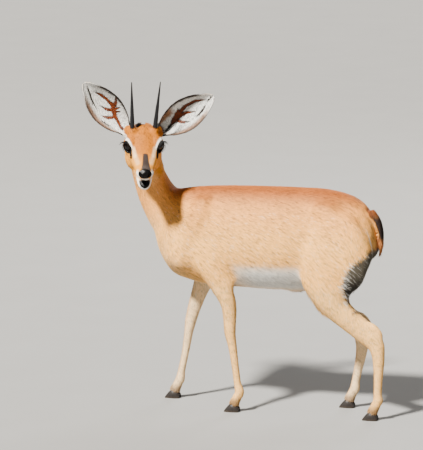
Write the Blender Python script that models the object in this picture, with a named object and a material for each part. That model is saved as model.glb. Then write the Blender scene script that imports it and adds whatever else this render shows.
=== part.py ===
"""A standing male steenbok, life size, as a still museum model.

Metres, with +Z up. The animal faces -X and its left side faces -Y. Its head is turned
a little past a right angle over its left shoulder. The flesh is modelled whole from lofts
and rounded masses, joined and smoothed, and then parted by thin cuts into named pieces.
Horns, ears, eyes, tail and claws are pieces of their own that meet the flesh face to face.
"""

import math

import bmesh
import bpy
from mathutils import Matrix, Vector
from mathutils.bvhtree import BVHTree

# Gaps and fineness of the solids
GAP = 0.0003
VOXEL = 0.0030
SMOOTH_PASSES = 6
BODY_PASSES = 90
FLESH_TRIANGLES = 6600
HEAD_CARE = 0.00003

LOFT_SIDES = 32
LOFT_STEPS = 4

# The trunk, from the chest's point to the buttock. Each row is one cross-section:
# x, height of its widest point, half width, height of its top, height of its bottom
TRUNK = (
    (-0.262, 0.392, 0.024, 0.430, 0.352),
    (-0.246, 0.396, 0.046, 0.470, 0.326),
    (-0.215, 0.400, 0.062, 0.514, 0.306),
    (-0.170, 0.405, 0.070, 0.529, 0.297),
    (-0.105, 0.403, 0.075, 0.535, 0.293),
    (-0.035, 0.400, 0.081, 0.537, 0.291),
    (0.035, 0.398, 0.084, 0.538, 0.290),
    (0.095, 0.405, 0.079, 0.540, 0.300),
    (0.150, 0.415, 0.073, 0.539, 0.328),
    (0.205, 0.420, 0.064, 0.528, 0.358),
    (0.235, 0.422, 0.053, 0.515, 0.376),
    (0.258, 0.424, 0.037, 0.496, 0.390),
    (0.270, 0.426, 0.018, 0.474, 0.402),
)

# The neck, from between the shoulders to the back of the skull. Each row:
# x, y, z, half width, reach towards the throat, reach towards the nape
NECK = (
    (-0.180, 0.000, 0.410, 0.056, 0.064, 0.062),
    (-0.222, 0.000, 0.458, 0.049, 0.065, 0.055),
    (-0.253, -0.002, 0.508, 0.041, 0.060, 0.036),
    (-0.272, -0.010, 0.558, 0.037, 0.053, 0.028),
    (-0.282, -0.023, 0.604, 0.036, 0.047, 0.030),
    (-0.284, -0.040, 0.640, 0.031, 0.034, 0.031),
    (-0.282, -0.052, 0.658, 0.022, 0.020, 0.022),
)

# The head's own frame: its forward axis runs from the back of the skull to the nose
HEAD_AT = Vector((-0.2897, -0.0391, 0.6562))
HEAD_TURN = math.radians(18.4)
HEAD_DROP = math.radians(29.0)

# The skull with the upper muzzle, in the head's frame. Each row:
# forward, middle height, half width, reach up, reach down
SKULL = (
    (-0.008, -0.002, 0.018, 0.017, 0.018),
    (0.008, 0.001, 0.032, 0.030, 0.030),
    (0.030, 0.003, 0.0385, 0.0392, 0.038),
    (0.054, 0.003, 0.0420, 0.0382, 0.041),
    (0.076, 0.001, 0.0405, 0.0305, 0.039),
    (0.096, -0.002, 0.0342, 0.0225, 0.031),
    (0.116, -0.0045, 0.0280, 0.0180, 0.0240),
    (0.135, -0.0060, 0.0230, 0.0170, 0.0200),
    (0.150, -0.0070, 0.0204, 0.0152, 0.0180),
    (0.160, -0.0080, 0.0140, 0.0105, 0.0122),
)

# The lower jaw, closed, in the same frame and with the same columns
JAW = (
    (0.030, -0.028, 0.026, 0.020, 0.024),
    (0.055, -0.030, 0.0310, 0.020, 0.0250),
    (0.080, -0.032, 0.0290, 0.018, 0.0215),
    (0.105, -0.0345, 0.0235, 0.013, 0.0160),
    (0.128, -0.0375, 0.0198, 0.0105, 0.0134),
    (0.145, -0.0395, 0.0178, 0.0100, 0.0125),
    (0.155, -0.0400, 0.0115, 0.0074, 0.0095),
)
JAW_HINGE = (0.020, -0.012)
JAW_DROP = math.radians(3.0)
MOUTH_CORNER = (0.104, -0.0265)
MOUTH_SPREAD = math.radians(6.0)
MOUTH_DEPTH = 0.0055
MOUTH_FRONT = 0.165
MOUTH_HALF_WIDTH = 0.030
MOUTH_LIP = 0.0011

# The eye: its centre in the head's frame for the left one, and the way that it looks
EYE_AT = Vector((0.0660, 0.0328, 0.0145))
EYE_RADIUS = 0.0138
EYE_FORWARD = math.radians(57.0)
EYE_UP = math.radians(10.0)
LID = 0.0024
LID_OPENING = (0.0132, 0.0098)
LID_SLANT = math.radians(26.0)

# Nose pad
NOSE_AT = (0.1535, 0.0, -0.0022)
NOSE_RADII = (0.0085, 0.0155, 0.0118)

# Horns, upright spikes over the eyes
HORN_ROOT = (0.0415, 0.0262, 0.0382)
HORN_LENGTH = 0.1175
HORN_BASE = 0.0056
HORN_TIP = 0.0011
HORN_SIDES = 14
HORN_LEAN = {"left": 0.115, "right": -0.014}

# Ears: where each root sits in the head's frame, and its lean out to the side
EAR_ROOT = (0.0225, 0.0348, 0.0170)
EAR_LENGTH = 0.158
EAR_WALL = 0.0022
EAR_LEAN = {"left": math.radians(57.5), "right": math.radians(-41.5)}
# Along the ear: share of its length, half width, half angle of the wrap in degrees
EAR_WIDTHS = (
    (0.00, 0.0125, 128.0),
    (0.10, 0.0185, 112.0),
    (0.20, 0.0275, 92.0),
    (0.32, 0.0350, 78.0),
    (0.46, 0.0388, 68.0),
    (0.60, 0.0370, 62.0),
    (0.74, 0.0305, 56.0),
    (0.86, 0.0208, 48.0),
    (0.95, 0.0118, 38.0),
    (1.00, 0.0040, 30.0),
)
EAR_ROWS = 13
EAR_COLUMNS = 10

# Legs. Each row is one cross-section: height, half width, reach forward, reach back
FORE_HALF_TRACK = 0.055
FORE_LEG = (
    (0.412, 0.018, 0.036, 0.040),
    (0.385, 0.024, 0.045, 0.050),
    (0.345, 0.026, 0.040, 0.040),
    (0.300, 0.0225, 0.029, 0.029),
    (0.262, 0.0190, 0.0215, 0.0220),
    (0.222, 0.0150, 0.0172, 0.0178),
    (0.190, 0.0140, 0.0152, 0.0148),
    (0.160, 0.0112, 0.0110, 0.0120),
    (0.115, 0.0090, 0.0088, 0.0102),
    (0.070, 0.0090, 0.0086, 0.0100),
    (0.047, 0.0112, 0.0104, 0.0130),
    (0.031, 0.0106, 0.0102, 0.0108),
    (0.012, 0.0114, 0.0122, 0.0122),
)
# Where the middle of each foreleg runs: height, then x
FORE_LINE = {
    "left": (
        (0.412, -0.140),
        (0.345, -0.112),
        (0.300, -0.092),
        (0.262, -0.076),
        (0.222, -0.0725),
        (0.190, -0.0715),
        (0.160, -0.0665),
        (0.115, -0.0602),
        (0.070, -0.0540),
        (0.047, -0.0495),
        (0.031, -0.0575),
        (0.012, -0.0630),
    ),
    "right": (
        (0.412, -0.150),
        (0.345, -0.154),
        (0.300, -0.163),
        (0.262, -0.177),
        (0.222, -0.190),
        (0.190, -0.198),
        (0.160, -0.204),
        (0.115, -0.2115),
        (0.070, -0.2210),
        (0.047, -0.2255),
        (0.031, -0.2335),
        (0.012, -0.2390),
    ),
}
HIND_HALF_TRACK = 0.060
# The left hind leg: x, height, half width, reach forward, reach back
HIND_LEG = (
    (0.196, 0.488, 0.012, 0.036, 0.032),
    (0.192, 0.462, 0.025, 0.062, 0.056),
    (0.186, 0.408, 0.036, 0.086, 0.084),
    (0.181, 0.362, 0.035, 0.087, 0.080),
    (0.172, 0.318, 0.032, 0.068, 0.066),
    (0.179, 0.281, 0.0275, 0.046, 0.044),
    (0.1975, 0.2535, 0.0235, 0.0315, 0.0320),
    (0.2265, 0.2300, 0.0195, 0.0285, 0.0285),
    (0.2580, 0.2050, 0.0170, 0.0260, 0.0265),
    (0.2810, 0.1830, 0.0158, 0.0225, 0.0220),
    (0.2880, 0.1540, 0.0134, 0.0160, 0.0165),
    (0.2885, 0.1200, 0.0110, 0.0124, 0.0132),
    (0.2875, 0.0850, 0.0097, 0.0102, 0.0110),
    (0.2865, 0.0620, 0.0098, 0.0100, 0.0112),
    (0.2870, 0.0470, 0.0115, 0.0110, 0.0136),
    (0.2790, 0.0310, 0.0106, 0.0103, 0.0110),
    (0.2735, 0.0120, 0.0114, 0.0122, 0.0122),
)
# How far each hind leg swings from the left one's pose: height, then the shift along x
HIND_SWING = {
    "left": ((0.60, 0.0), (0.00, 0.0)),
    "right": (
        (0.60, 0.000),
        (0.47, -0.006),
        (0.36, -0.020),
        (0.29, -0.030),
        (0.25, -0.044),
        (0.19, -0.061),
        (0.13, -0.069),
        (0.047, -0.083),
        (0.00, -0.083),
    ),
}

# Claws: along the sole from the heel to the toe, half width and height
CLAW = (
    (0.0135, 0.0045, 0.0110),
    (0.0070, 0.0058, 0.0185),
    (-0.0010, 0.0061, 0.0225),
    (-0.0095, 0.0053, 0.0175),
    (-0.0165, 0.0037, 0.0098),
    (-0.0215, 0.0014, 0.0030),
)
CLAW_SPREAD = 0.0067
CLAW_TOE_IN = math.radians(4.0)
CORONET = (0.0190, math.radians(22.0))

# The tail hangs down against the rump
TAIL = (
    (0.252, 0.487, 0.0125, 0.0100, 0.0110),
    (0.269, 0.468, 0.0140, 0.0090, 0.0096),
    (0.2785, 0.440, 0.0150, 0.0074, 0.0078),
    (0.2800, 0.410, 0.0125, 0.0060, 0.0062),
    (0.2755, 0.385, 0.0062, 0.0034, 0.0038),
)

CORONET_AT = 0.012
SIDES = {"left": -1.0, "right": 1.0}
HEAD_SIDES = {"left": 1.0, "right": -1.0}

MATERIALS = {
    "coat": ((0.72, 0.40, 0.19), 0.85),
    "face": ((0.70, 0.33, 0.12), 0.85),
    "ear": ((0.78, 0.70, 0.62), 0.85),
    "horn": ((0.045, 0.040, 0.042), 0.35),
    "eye": ((0.030, 0.018, 0.012), 0.06),
    "nose": ((0.020, 0.018, 0.020), 0.32),
    "claw": ((0.050, 0.042, 0.038), 0.45),
}


def clear_scene():
    for old in list(bpy.data.objects):
        bpy.data.objects.remove(old, do_unlink=True)


def material(name):
    found = bpy.data.materials.get(name)
    if found:
        return found
    made = bpy.data.materials.new(name)
    made.use_nodes = True
    colour, roughness = MATERIALS[name]
    shader = made.node_tree.nodes["Principled BSDF"]
    shader.inputs["Base Color"].default_value = (*colour, 1.0)
    shader.inputs["Roughness"].default_value = roughness
    made.diffuse_color = (*colour, 1.0)
    return made


def object_of(name, bm, finish=None):
    """A new object in the scene from a bmesh, which is freed."""
    mesh = bpy.data.meshes.new(name)
    bmesh.ops.recalc_face_normals(bm, faces=bm.faces)
    bm.to_mesh(mesh)
    bm.free()
    made = bpy.data.objects.new(name, mesh)
    bpy.context.scene.collection.objects.link(made)
    if finish:
        mesh.materials.append(material(finish))
        mesh.shade_smooth()
        mesh.set_sharp_from_angle(angle=math.radians(50))
    return made


def apply_modifiers(target):
    """Turns the evaluated mesh of an object into its own mesh."""
    bpy.context.view_layer.update()
    graph = bpy.context.evaluated_depsgraph_get()
    mesh = bpy.data.meshes.new_from_object(target.evaluated_get(graph))
    target.modifiers.clear()
    old = target.data
    target.data = mesh
    bpy.data.meshes.remove(old)
    return target


def blend(a, b, c, d, t):
    """A Catmull-Rom curve's value between b and c."""
    return 0.5 * (
        2 * b
        + (c - a) * t
        + (2 * a - 5 * b + 4 * c - d) * t * t
        + (3 * b - a - 3 * c + d) * t * t * t
    )


def smooth_rows(rows, steps):
    """The rows of a table with more rows between them, on smooth curves through each column."""
    last = len(rows) - 1
    smooth = []
    for i in range(last):
        near = [rows[max(0, min(last, i + k))] for k in (-1, 0, 1, 2)]
        for step in range(steps):
            smooth.append([blend(*column, step / steps) for column in zip(*near)])
    smooth.append(list(rows[-1]))
    return smooth


def add_loft(bm, rows, side, steps=LOFT_STEPS, sides=LOFT_SIDES, frame=None):
    """Adds a closed tube. Each row is x, y, z, half width along side, reach to the front
    and reach to the back, where front is square to the path and to side."""
    smooth = smooth_rows(rows, steps)
    centres = [Vector(row[:3]) for row in smooth]
    side = Vector(side)
    rings = []
    for i, row in enumerate(smooth):
        before = centres[max(0, i - 1)]
        after = centres[min(len(centres) - 1, i + 1)]
        along = (after - before).normalized()
        across = (side - along * side.dot(along)).normalized()
        front = along.cross(across)
        ring = []
        for k in range(sides):
            turn = 2 * math.pi * k / sides
            reach = row[4] if math.cos(turn) > 0 else row[5]
            point = (
                centres[i]
                + across * row[3] * math.sin(turn)
                + front * reach * math.cos(turn)
            )
            ring.append(bm.verts.new(frame @ point if frame else point))
        rings.append(ring)
    for near, far in zip(rings, rings[1:]):
        for k in range(sides):
            after = (k + 1) % sides
            bm.faces.new((near[k], near[after], far[after], far[k]))
    bm.faces.new(rings[0])
    bm.faces.new(rings[-1])


def add_ball(bm, at, radii, turn=(0, 0, 0), frame=None):
    """Adds a rounded mass with three radii, turned about X, Y and Z."""
    place = Matrix.Translation(at)
    for angle, axis in zip(turn, "XYZ"):
        place = place @ Matrix.Rotation(angle, 4, axis)
    place = place @ Matrix.Diagonal((*radii, 1.0))
    if frame:
        place = frame @ place
    bmesh.ops.create_icosphere(bm, subdivisions=4, radius=1.0, matrix=place)


def head_frame():
    """From the head's frame (forward, to the animal's left, up) to the model's."""
    level = Vector((math.sin(HEAD_TURN), -math.cos(HEAD_TURN), 0.0))
    forward = level * math.cos(HEAD_DROP) - Vector((0, 0, 1)) * math.sin(HEAD_DROP)
    left = Vector((0, 0, 1)).cross(level)
    up = forward.cross(left)
    turn = Matrix((forward, left, up)).transposed().to_4x4()
    return Matrix.Translation(HEAD_AT) @ turn


HEAD = head_frame()
HEAD_INVERSE = HEAD.inverted()


def add_trunk(bm):
    rows = [(x, 0.0, z, w, top - z, z - low) for x, z, w, top, low in TRUNK]
    add_loft(bm, rows, (0, 1, 0))
    for way in SIDES.values():
        # shoulder blade, upper arm, point of the hip and buttock
        add_ball(bm, (-0.160, 0.048 * way, 0.430), (0.042, 0.026, 0.088), (0, 0.26, 0))
        add_ball(bm, (-0.190, 0.044 * way, 0.374), (0.042, 0.027, 0.044))
        add_ball(bm, (0.150, 0.044 * way, 0.484), (0.045, 0.026, 0.030))
        add_ball(bm, (0.243, 0.032 * way, 0.415), (0.027, 0.026, 0.048), (0, -0.2, 0))
    # the sheath under the belly of a male
    add_ball(bm, (0.070, 0.0, 0.297), (0.034, 0.011, 0.013))


def add_neck(bm):
    add_loft(bm, NECK, (0, 1, 0))


def add_head(bm):
    rows = [(f, 0.0, t, w, up, down) for f, t, w, up, down in SKULL]
    add_loft(bm, rows, (0, 1, 0), frame=HEAD)
    hinge = Vector((JAW_HINGE[0], 0.0, JAW_HINGE[1]))
    drop = (
        Matrix.Translation(hinge)
        @ Matrix.Rotation(JAW_DROP, 4, "Y")
        @ Matrix.Translation(-hinge)
    )
    rows = [(f, 0.0, t, w, up, down) for f, t, w, up, down in JAW]
    add_loft(bm, rows, (0, 1, 0), frame=HEAD @ drop)
    for way in HEAD_SIDES.values():
        # cheek, brow and the rim of the eye's socket
        add_ball(bm, (0.055, 0.0262 * way, -0.022), (0.044, 0.0180, 0.029), frame=HEAD)
        add_ball(bm, (0.058, 0.0280 * way, 0.0200), (0.021, 0.0140, 0.0160), frame=HEAD)
        add_ball(bm, (0.0625, 0.0300 * way, 0.0140), (0.0230, 0.0178, 0.0195), frame=HEAD)
        # the lids, a skin over the eyeball
        lids = (EYE_AT.x, EYE_AT.y * way, EYE_AT.z)
        add_ball(bm, lids, (EYE_RADIUS + LID,) * 3, frame=HEAD)
        # the swelling that carries the horn, and the root of the ear
        add_ball(bm, (0.0410, 0.0250 * way, 0.0345), (0.0140, 0.0130, 0.0135), frame=HEAD)
        add_ball(bm, (0.0200, 0.0300 * way, 0.0150), (0.0180, 0.0160, 0.0195), frame=HEAD)


def along_line(line, z):
    """The value at a height of a table whose rows go down: height, value."""
    for (high, first), (low, second) in zip(line, line[1:]):
        if z >= low:
            return first + (second - first) * min(1.0, (high - z) / (high - low))
    return line[-1][1]


def hind_x(side, x, z):
    return x + along_line(HIND_SWING[side], z)


def add_fore_leg(bm, side):
    y = FORE_HALF_TRACK * SIDES[side]
    line = FORE_LINE[side]
    rows = [
        (along_line(line, z), y, z, wide, front, back)
        for z, wide, front, back in FORE_LEG
    ]
    add_loft(bm, rows, (0, -1, 0))
    # the point of the elbow
    elbow = along_line(line, 0.312)
    add_ball(bm, (elbow + 0.024, y * 0.96, 0.316), (0.016, 0.0135, 0.020))


def add_hind_leg(bm, side):
    y = HIND_HALF_TRACK * SIDES[side]
    rows = [
        (hind_x(side, x, z), y * (0.93 if z > 0.4 else 1.0), z, wide, front, back)
        for x, z, wide, front, back in HIND_LEG
    ]
    add_loft(bm, rows, (0, -1, 0))
    # the kneecap's swelling and the point of the hock
    knee = (hind_x(side, 0.131, 0.322), y * 1.06, 0.322)
    add_ball(bm, knee, (0.030, 0.021, 0.036), (0, -0.35, 0))
    heel = (hind_x(side, 0.2800, 0.2170), y, 0.2170)
    add_ball(bm, heel, (0.0110, 0.0105, 0.0270), (0, -0.80, 0))


def whole_flesh():
    """All the flesh as one smooth closed surface."""
    bm = bmesh.new()
    add_trunk(bm)
    add_neck(bm)
    add_head(bm)
    for side in SIDES:
        add_fore_leg(bm, side)
        add_hind_leg(bm, side)
    flesh = object_of("flesh", bm)
    remesh = flesh.modifiers.new("join", "REMESH")
    remesh.mode = "VOXEL"
    remesh.voxel_size = VOXEL
    soften(flesh, SMOOTH_PASSES)
    apply_modifiers(flesh)
    weigh(flesh, "body", body_weight)
    soften(flesh, BODY_PASSES, "body")
    apply_modifiers(flesh)
    weigh(flesh, "head", head_weight)
    thin = flesh.modifiers.new("thin", "DECIMATE")
    triangles = sum(len(face.vertices) - 2 for face in flesh.data.polygons)
    thin.ratio = FLESH_TRIANGLES / triangles
    thin.vertex_group = "head"
    thin.invert_vertex_group = True
    thin.vertex_group_factor = HEAD_CARE
    return apply_modifiers(flesh)


def soften(target, passes, group=""):
    smooth = target.modifiers.new("soften", "SMOOTH")
    smooth.factor = 0.5
    smooth.iterations = passes
    smooth.vertex_group = group


def weigh(target, name, weight_at):
    """A vertex group whose weights come from a function of place."""
    group = target.vertex_groups.new(name=name)
    for vertex in target.data.vertices:
        weight = weight_at(vertex.co)
        if weight > 0:
            group.add([vertex.index], weight, "REPLACE")


def body_weight(place):
    """One on the trunk and upper legs, less towards the shins, the neck and the head."""
    up = min(1.0, max(0.0, (place.z - 0.235) / 0.06))
    down = min(1.0, max(0.0, (0.60 - place.z) / 0.08))
    return up * down


def head_weight(place):
    """Keeps more triangles on the head than on the body."""
    forward, left, up = HEAD_INVERSE @ place
    return 0.5 if forward > 0.0 and abs(left) < 0.08 and abs(up) < 0.09 else 0.0


def boolean(target, others, operation):
    """Adds or cuts closed objects, which are then removed."""
    group = bpy.data.collections.new("operands")
    bpy.context.scene.collection.children.link(group)
    for other in others:
        group.objects.link(other)
    step = target.modifiers.new(operation.lower(), "BOOLEAN")
    step.operation = operation
    step.operand_type = "COLLECTION"
    step.collection = group
    step.solver = "EXACT"
    apply_modifiers(target)
    for other in others:
        bpy.data.objects.remove(other, do_unlink=True)
    bpy.data.collections.remove(group)
    return target


def disc(at, normal, radius):
    """A disc as thick as the gap that parts two nodes."""
    bm = bmesh.new()
    turn = Vector((0, 0, 1)).rotation_difference(Vector(normal)).to_matrix().to_4x4()
    bmesh.ops.create_cone(
        bm,
        cap_ends=True,
        segments=32,
        radius1=radius,
        radius2=radius,
        depth=GAP,
        matrix=Matrix.Translation(at) @ turn,
    )
    return object_of("cut", bm)


def groin_cut(way):
    """A slab under the trunk that parts one hind leg from it, high behind, low in front."""
    low, high = Vector((0.085, 0.0, 0.287)), Vector((0.275, 0.0, 0.350))
    run = high - low
    pitch = math.atan2(run.z, run.x)
    place = (
        Matrix.Translation((low + high) / 2 + Vector((0, 0.0625 * way, 0)))
        @ Matrix.Rotation(-pitch, 4, "Y")
        @ Matrix.Diagonal((run.length * 1.15, 0.119, GAP, 1.0))
    )
    bm = bmesh.new()
    bmesh.ops.create_cube(bm, size=1.0, matrix=place)
    return object_of("cut", bm)


def coronet_plane(foot_x, y):
    """The sloping plane where the hair ends and the claws begin."""
    height, slope = CORONET
    return Vector((foot_x, y, height)), Vector((math.sin(slope), 0.0, math.cos(slope)))


def feet():
    """Name, x and y of each foot at its coronet."""
    for side, way in SIDES.items():
        fore = along_line(FORE_LINE[side], CORONET_AT)
        hind = hind_x(side, HIND_LEG[-1][0], CORONET_AT)
        yield f"fore_{side}", fore, FORE_HALF_TRACK * way
        yield f"hind_{side}", hind, HIND_HALF_TRACK * way


def leg_disc(high, low, share, radius):
    """A disc square to the line between two points, part of the way along it."""
    high, low = Vector(high), Vector(low)
    return disc(high.lerp(low, share), (low - high).normalized(), radius)


def cuts():
    """Every thin cut that parts the flesh."""
    forward, up = HEAD.col[0].xyz, HEAD.col[2].xyz
    throat = HEAD @ Vector((0.0160, 0.0, -0.0280))
    found = [
        disc(throat, forward * 0.68 + up * 0.73, 0.075),
        disc((-0.225, 0.0, 0.483), (-0.52, 0.0, 0.854), 0.112),
    ]
    for side, way in SIDES.items():
        fore, hind = FORE_HALF_TRACK * way, HIND_HALF_TRACK * way
        line = FORE_LINE[side]
        elbow = (along_line(line, 0.300), fore, 0.300)
        wrist = (along_line(line, 0.222), fore, 0.222)
        shin = (along_line(line, 0.115), fore, 0.115)
        found.append(leg_disc(elbow, wrist, 0.25, 0.042))
        found.append(leg_disc(wrist, shin, 0.56, 0.024))
        found.append(groin_cut(way))
        hock = (hind_x(side, 0.2880, 0.1540), hind, 0.1540)
        below = (hind_x(side, 0.2885, 0.1200), hind, 0.1200)
        found.append(leg_disc(hock, below, 0.1, 0.028))
    for _, foot_x, y in feet():
        at, normal = coronet_plane(foot_x, y)
        found.append(disc(at, normal, 0.022))
    return found


def pieces_of(target):
    """The separate closed surfaces of an object, each as a bmesh, largest first."""
    bm = bmesh.new()
    bm.from_mesh(target.data)
    bm.verts.ensure_lookup_table()
    seen, groups = set(), []
    for start in bm.verts:
        if start.index in seen:
            continue
        group, edge = [], [start]
        seen.add(start.index)
        while edge:
            vertex = edge.pop()
            group.append(vertex.index)
            for link in vertex.link_edges:
                other = link.other_vert(vertex)
                if other.index not in seen:
                    seen.add(other.index)
                    edge.append(other)
        groups.append(set(group))
    found = []
    for group in sorted(groups, key=len, reverse=True):
        piece = bm.copy()
        rest = [v for v in piece.verts if v.index not in group]
        bmesh.ops.delete(piece, geom=rest, context="VERTS")
        found.append(piece)
    bm.free()
    return found


def keep_largest(target):
    """Drops any loose scrap that a cut left."""
    found = pieces_of(target)
    found[0].to_mesh(target.data)
    for piece in found:
        piece.free()
    return target


def marks():
    """A point inside each piece of flesh, by which the parted pieces get their names."""
    found = {
        "head": HEAD @ Vector((0.075, 0.0, -0.005)),
        "neck": Vector(NECK[3][:3]),
        "torso": Vector((0.0, 0.0, 0.41)),
    }
    for side, way in SIDES.items():
        fore, hind = FORE_HALF_TRACK * way, HIND_HALF_TRACK * way
        line = FORE_LINE[side]
        found[f"forearm_{side}"] = Vector((along_line(line, 0.225), fore, 0.225))
        found[f"fore_shin_{side}"] = Vector((along_line(line, 0.09), fore, 0.09))
        found[f"thigh_{side}"] = Vector((hind_x(side, 0.2265, 0.23), hind, 0.23))
        found[f"hind_shin_{side}"] = Vector((hind_x(side, 0.2875, 0.09), hind, 0.09))
    return found


def holds(piece, point):
    """Whether a closed bmesh has a point inside it: a ray from there leaves it once more
    than it comes in."""
    tree = BVHTree.FromBMesh(piece)
    way = Vector((0.31, 0.42, 0.85)).normalized()
    crossings = 0
    place = tree.ray_cast(point, way)[0]
    while place is not None:
        crossings += 1
        place = tree.ray_cast(place + way * 0.00001, way)[0]
    return crossings % 2 == 1


def part_flesh(flesh):
    """Parts the whole flesh by thin cuts and names each piece after the mark inside it."""
    boolean(flesh, cuts(), "DIFFERENCE")
    pieces = pieces_of(flesh)
    named = {}
    for name, point in marks().items():
        piece = next(p for p in pieces if holds(p, point))
        pieces.remove(piece)
        named[name] = object_of(name, piece, "face" if name == "head" else "coat")
    for scrap in pieces:
        scrap.free()
    bpy.data.objects.remove(flesh, do_unlink=True)
    return named


def swollen(source, distance):
    """A copy of an object whose surface lies further out, to cut its neighbours clear."""
    copy = source.copy()
    copy.data = source.data.copy()
    copy.name = "swollen"
    bpy.context.scene.collection.objects.link(copy)
    normals = [vertex.normal.copy() for vertex in copy.data.vertices]
    for vertex, normal in zip(copy.data.vertices, normals):
        vertex.co += normal * distance
    return copy


def set_against(piece, *bodies):
    """Cuts a piece so that it meets each body face to face, with the gap between."""
    boolean(piece, [swollen(body, GAP) for body in bodies], "DIFFERENCE")
    return keep_largest(piece)


def ball(name, at, radius, segments, rings, finish=None, scale=(1, 1, 1), turn=None):
    bm = bmesh.new()
    place = Matrix.Translation(at) @ (turn or Matrix.Identity(4))
    bmesh.ops.create_uvsphere(
        bm,
        u_segments=segments,
        v_segments=rings,
        radius=radius,
        matrix=place @ Matrix.Diagonal((*scale, 1.0)),
    )
    return object_of(name, bm, finish)


def eye_frame(way):
    """The eye's frame in the model: Z looks out, X runs down the slant of the lids."""
    out = Vector(
        (
            math.sin(EYE_FORWARD) * math.cos(EYE_UP),
            way * math.cos(EYE_FORWARD) * math.cos(EYE_UP),
            math.sin(EYE_UP),
        )
    )
    slant = Vector((math.cos(LID_SLANT), 0.0, -math.sin(LID_SLANT)))
    slant = (slant - out * slant.dot(out)).normalized()
    turn = Matrix((slant, out.cross(slant), out)).transposed().to_4x4()
    at = Vector((EYE_AT.x, EYE_AT.y * way, EYE_AT.z))
    return HEAD @ Matrix.Translation(at) @ turn


def lid_opening(way):
    """A tapering plug, almond shaped across, that opens the lids."""
    wide, high = LID_OPENING
    bm = bmesh.new()
    corners = 20
    rings = []
    for depth, swell in ((0.003, 0.80), (0.024, 1.18)):
        ring = []
        for k in range(corners):
            turn = 2 * math.pi * k / corners
            lift = math.sin(turn) * (1 - 0.22 * abs(math.cos(turn)))
            point = Vector((wide * swell * math.cos(turn), high * swell * lift, depth))
            ring.append(bm.verts.new(eye_frame(way) @ point))
        rings.append(ring)
    for k in range(corners):
        after = (k + 1) % corners
        bm.faces.new((rings[0][k], rings[0][after], rings[1][after], rings[1][k]))
    bm.faces.new(rings[0])
    bm.faces.new(rings[1])
    return object_of("opening", bm)


def gland_pit(way):
    """The slit of the scent gland in front of the eye."""
    at = Vector((0.0900, 0.0362 * way, -0.0015))
    turn = Matrix.Rotation(0.42, 4, "Y") @ Matrix.Rotation(-0.42 * way, 4, "Z")
    return ball(
        "pit", HEAD @ at, 0.0016, 8, 6, scale=(4.0, 1.4, 1.0), turn=HEAD.to_3x3().to_4x4() @ turn
    )


def mouth_cut():
    """The gap between the parted lips: a thin wedge, with a core left inside as the mouth's floor."""
    corner_f, corner_t = MOUTH_CORNER
    length = MOUTH_FRONT - corner_f
    drop = length * math.tan(MOUTH_SPREAD) + MOUTH_LIP
    bm = bmesh.new()
    wedge = []
    for way in (-1, 1):
        for f, t in (
            (corner_f, corner_t),
            (MOUTH_FRONT, corner_t + MOUTH_LIP),
            (MOUTH_FRONT, corner_t - drop),
        ):
            wedge.append(bm.verts.new(HEAD @ Vector((f, MOUTH_HALF_WIDTH * way, t))))
    bm.faces.new(wedge[:3])
    bm.faces.new(wedge[3:])
    for a, b in ((0, 1), (1, 2), (2, 0)):
        bm.faces.new((wedge[a], wedge[b], wedge[b + 3], wedge[a + 3]))
    cut = object_of("mouth", bm)
    core_at = HEAD @ Vector((0.112, 0.0, corner_t - 0.003))
    core = ball(
        "core",
        core_at,
        1.0,
        20,
        12,
        scale=(0.038, 0.0185 - MOUTH_DEPTH, 0.016),
        turn=HEAD.to_3x3().to_4x4(),
    )
    return boolean(cut, [core], "DIFFERENCE")


def nostril(way):
    """A slanted comma-shaped hollow in the nose pad."""
    bm = bmesh.new()
    rows = [
        (0.166, 0.0052 * way, -0.0060, 0.0016, 0.0022, 0.0022),
        (0.160, 0.0070 * way, -0.0040, 0.0022, 0.0030, 0.0030),
        (0.156, 0.0100 * way, -0.0015, 0.0020, 0.0026, 0.0026),
        (0.154, 0.0150 * way, 0.0000, 0.0012, 0.0014, 0.0014),
    ]
    add_loft(bm, rows, (1, 0.4 * way, 0), steps=2, sides=8, frame=HEAD)
    return object_of("nostril", bm)


def finish_head(head):
    """The opened lids, the eye sockets, the gland slits and the mouth."""
    tools = [mouth_cut()]
    for way in HEAD_SIDES.values():
        tools.append(lid_opening(way))
        tools.append(gland_pit(way))
    boolean(head, tools, "DIFFERENCE")
    sockets = [
        ball("socket", eye_frame(way).translation, EYE_RADIUS + GAP, 20, 14)
        for way in HEAD_SIDES.values()
    ]
    boolean(head, sockets, "DIFFERENCE")
    keep_largest(head)


def make_nose(head):
    """The bare nose pad, cut from the muzzle's tip by a rounded surface."""
    turn = HEAD.to_3x3().to_4x4()
    at = HEAD @ Vector(NOSE_AT)
    pad = head.copy()
    pad.data = head.data.copy()
    bpy.context.scene.collection.objects.link(pad)
    pad.name = "nose"
    region = ball("region", at, 1.0, 24, 14, scale=NOSE_RADII, turn=turn)
    boolean(pad, [region], "INTERSECT")
    nostrils = [nostril(way) for way in HEAD_SIDES.values()]
    boolean(pad, nostrils, "DIFFERENCE")
    keep_largest(pad)
    pad.data.materials.clear()
    pad.data.materials.append(material("nose"))
    grown = tuple(radius + GAP for radius in NOSE_RADII)
    region = ball("region", at, 1.0, 24, 14, scale=grown, turn=turn)
    boolean(head, [region], "DIFFERENCE")
    keep_largest(head)


def make_eyes():
    for side, way in HEAD_SIDES.items():
        frame = eye_frame(way)
        turn = frame.to_3x3().to_4x4()
        ball(f"eye_{side}", frame.translation, EYE_RADIUS, 18, 12, "eye", turn=turn)


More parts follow.
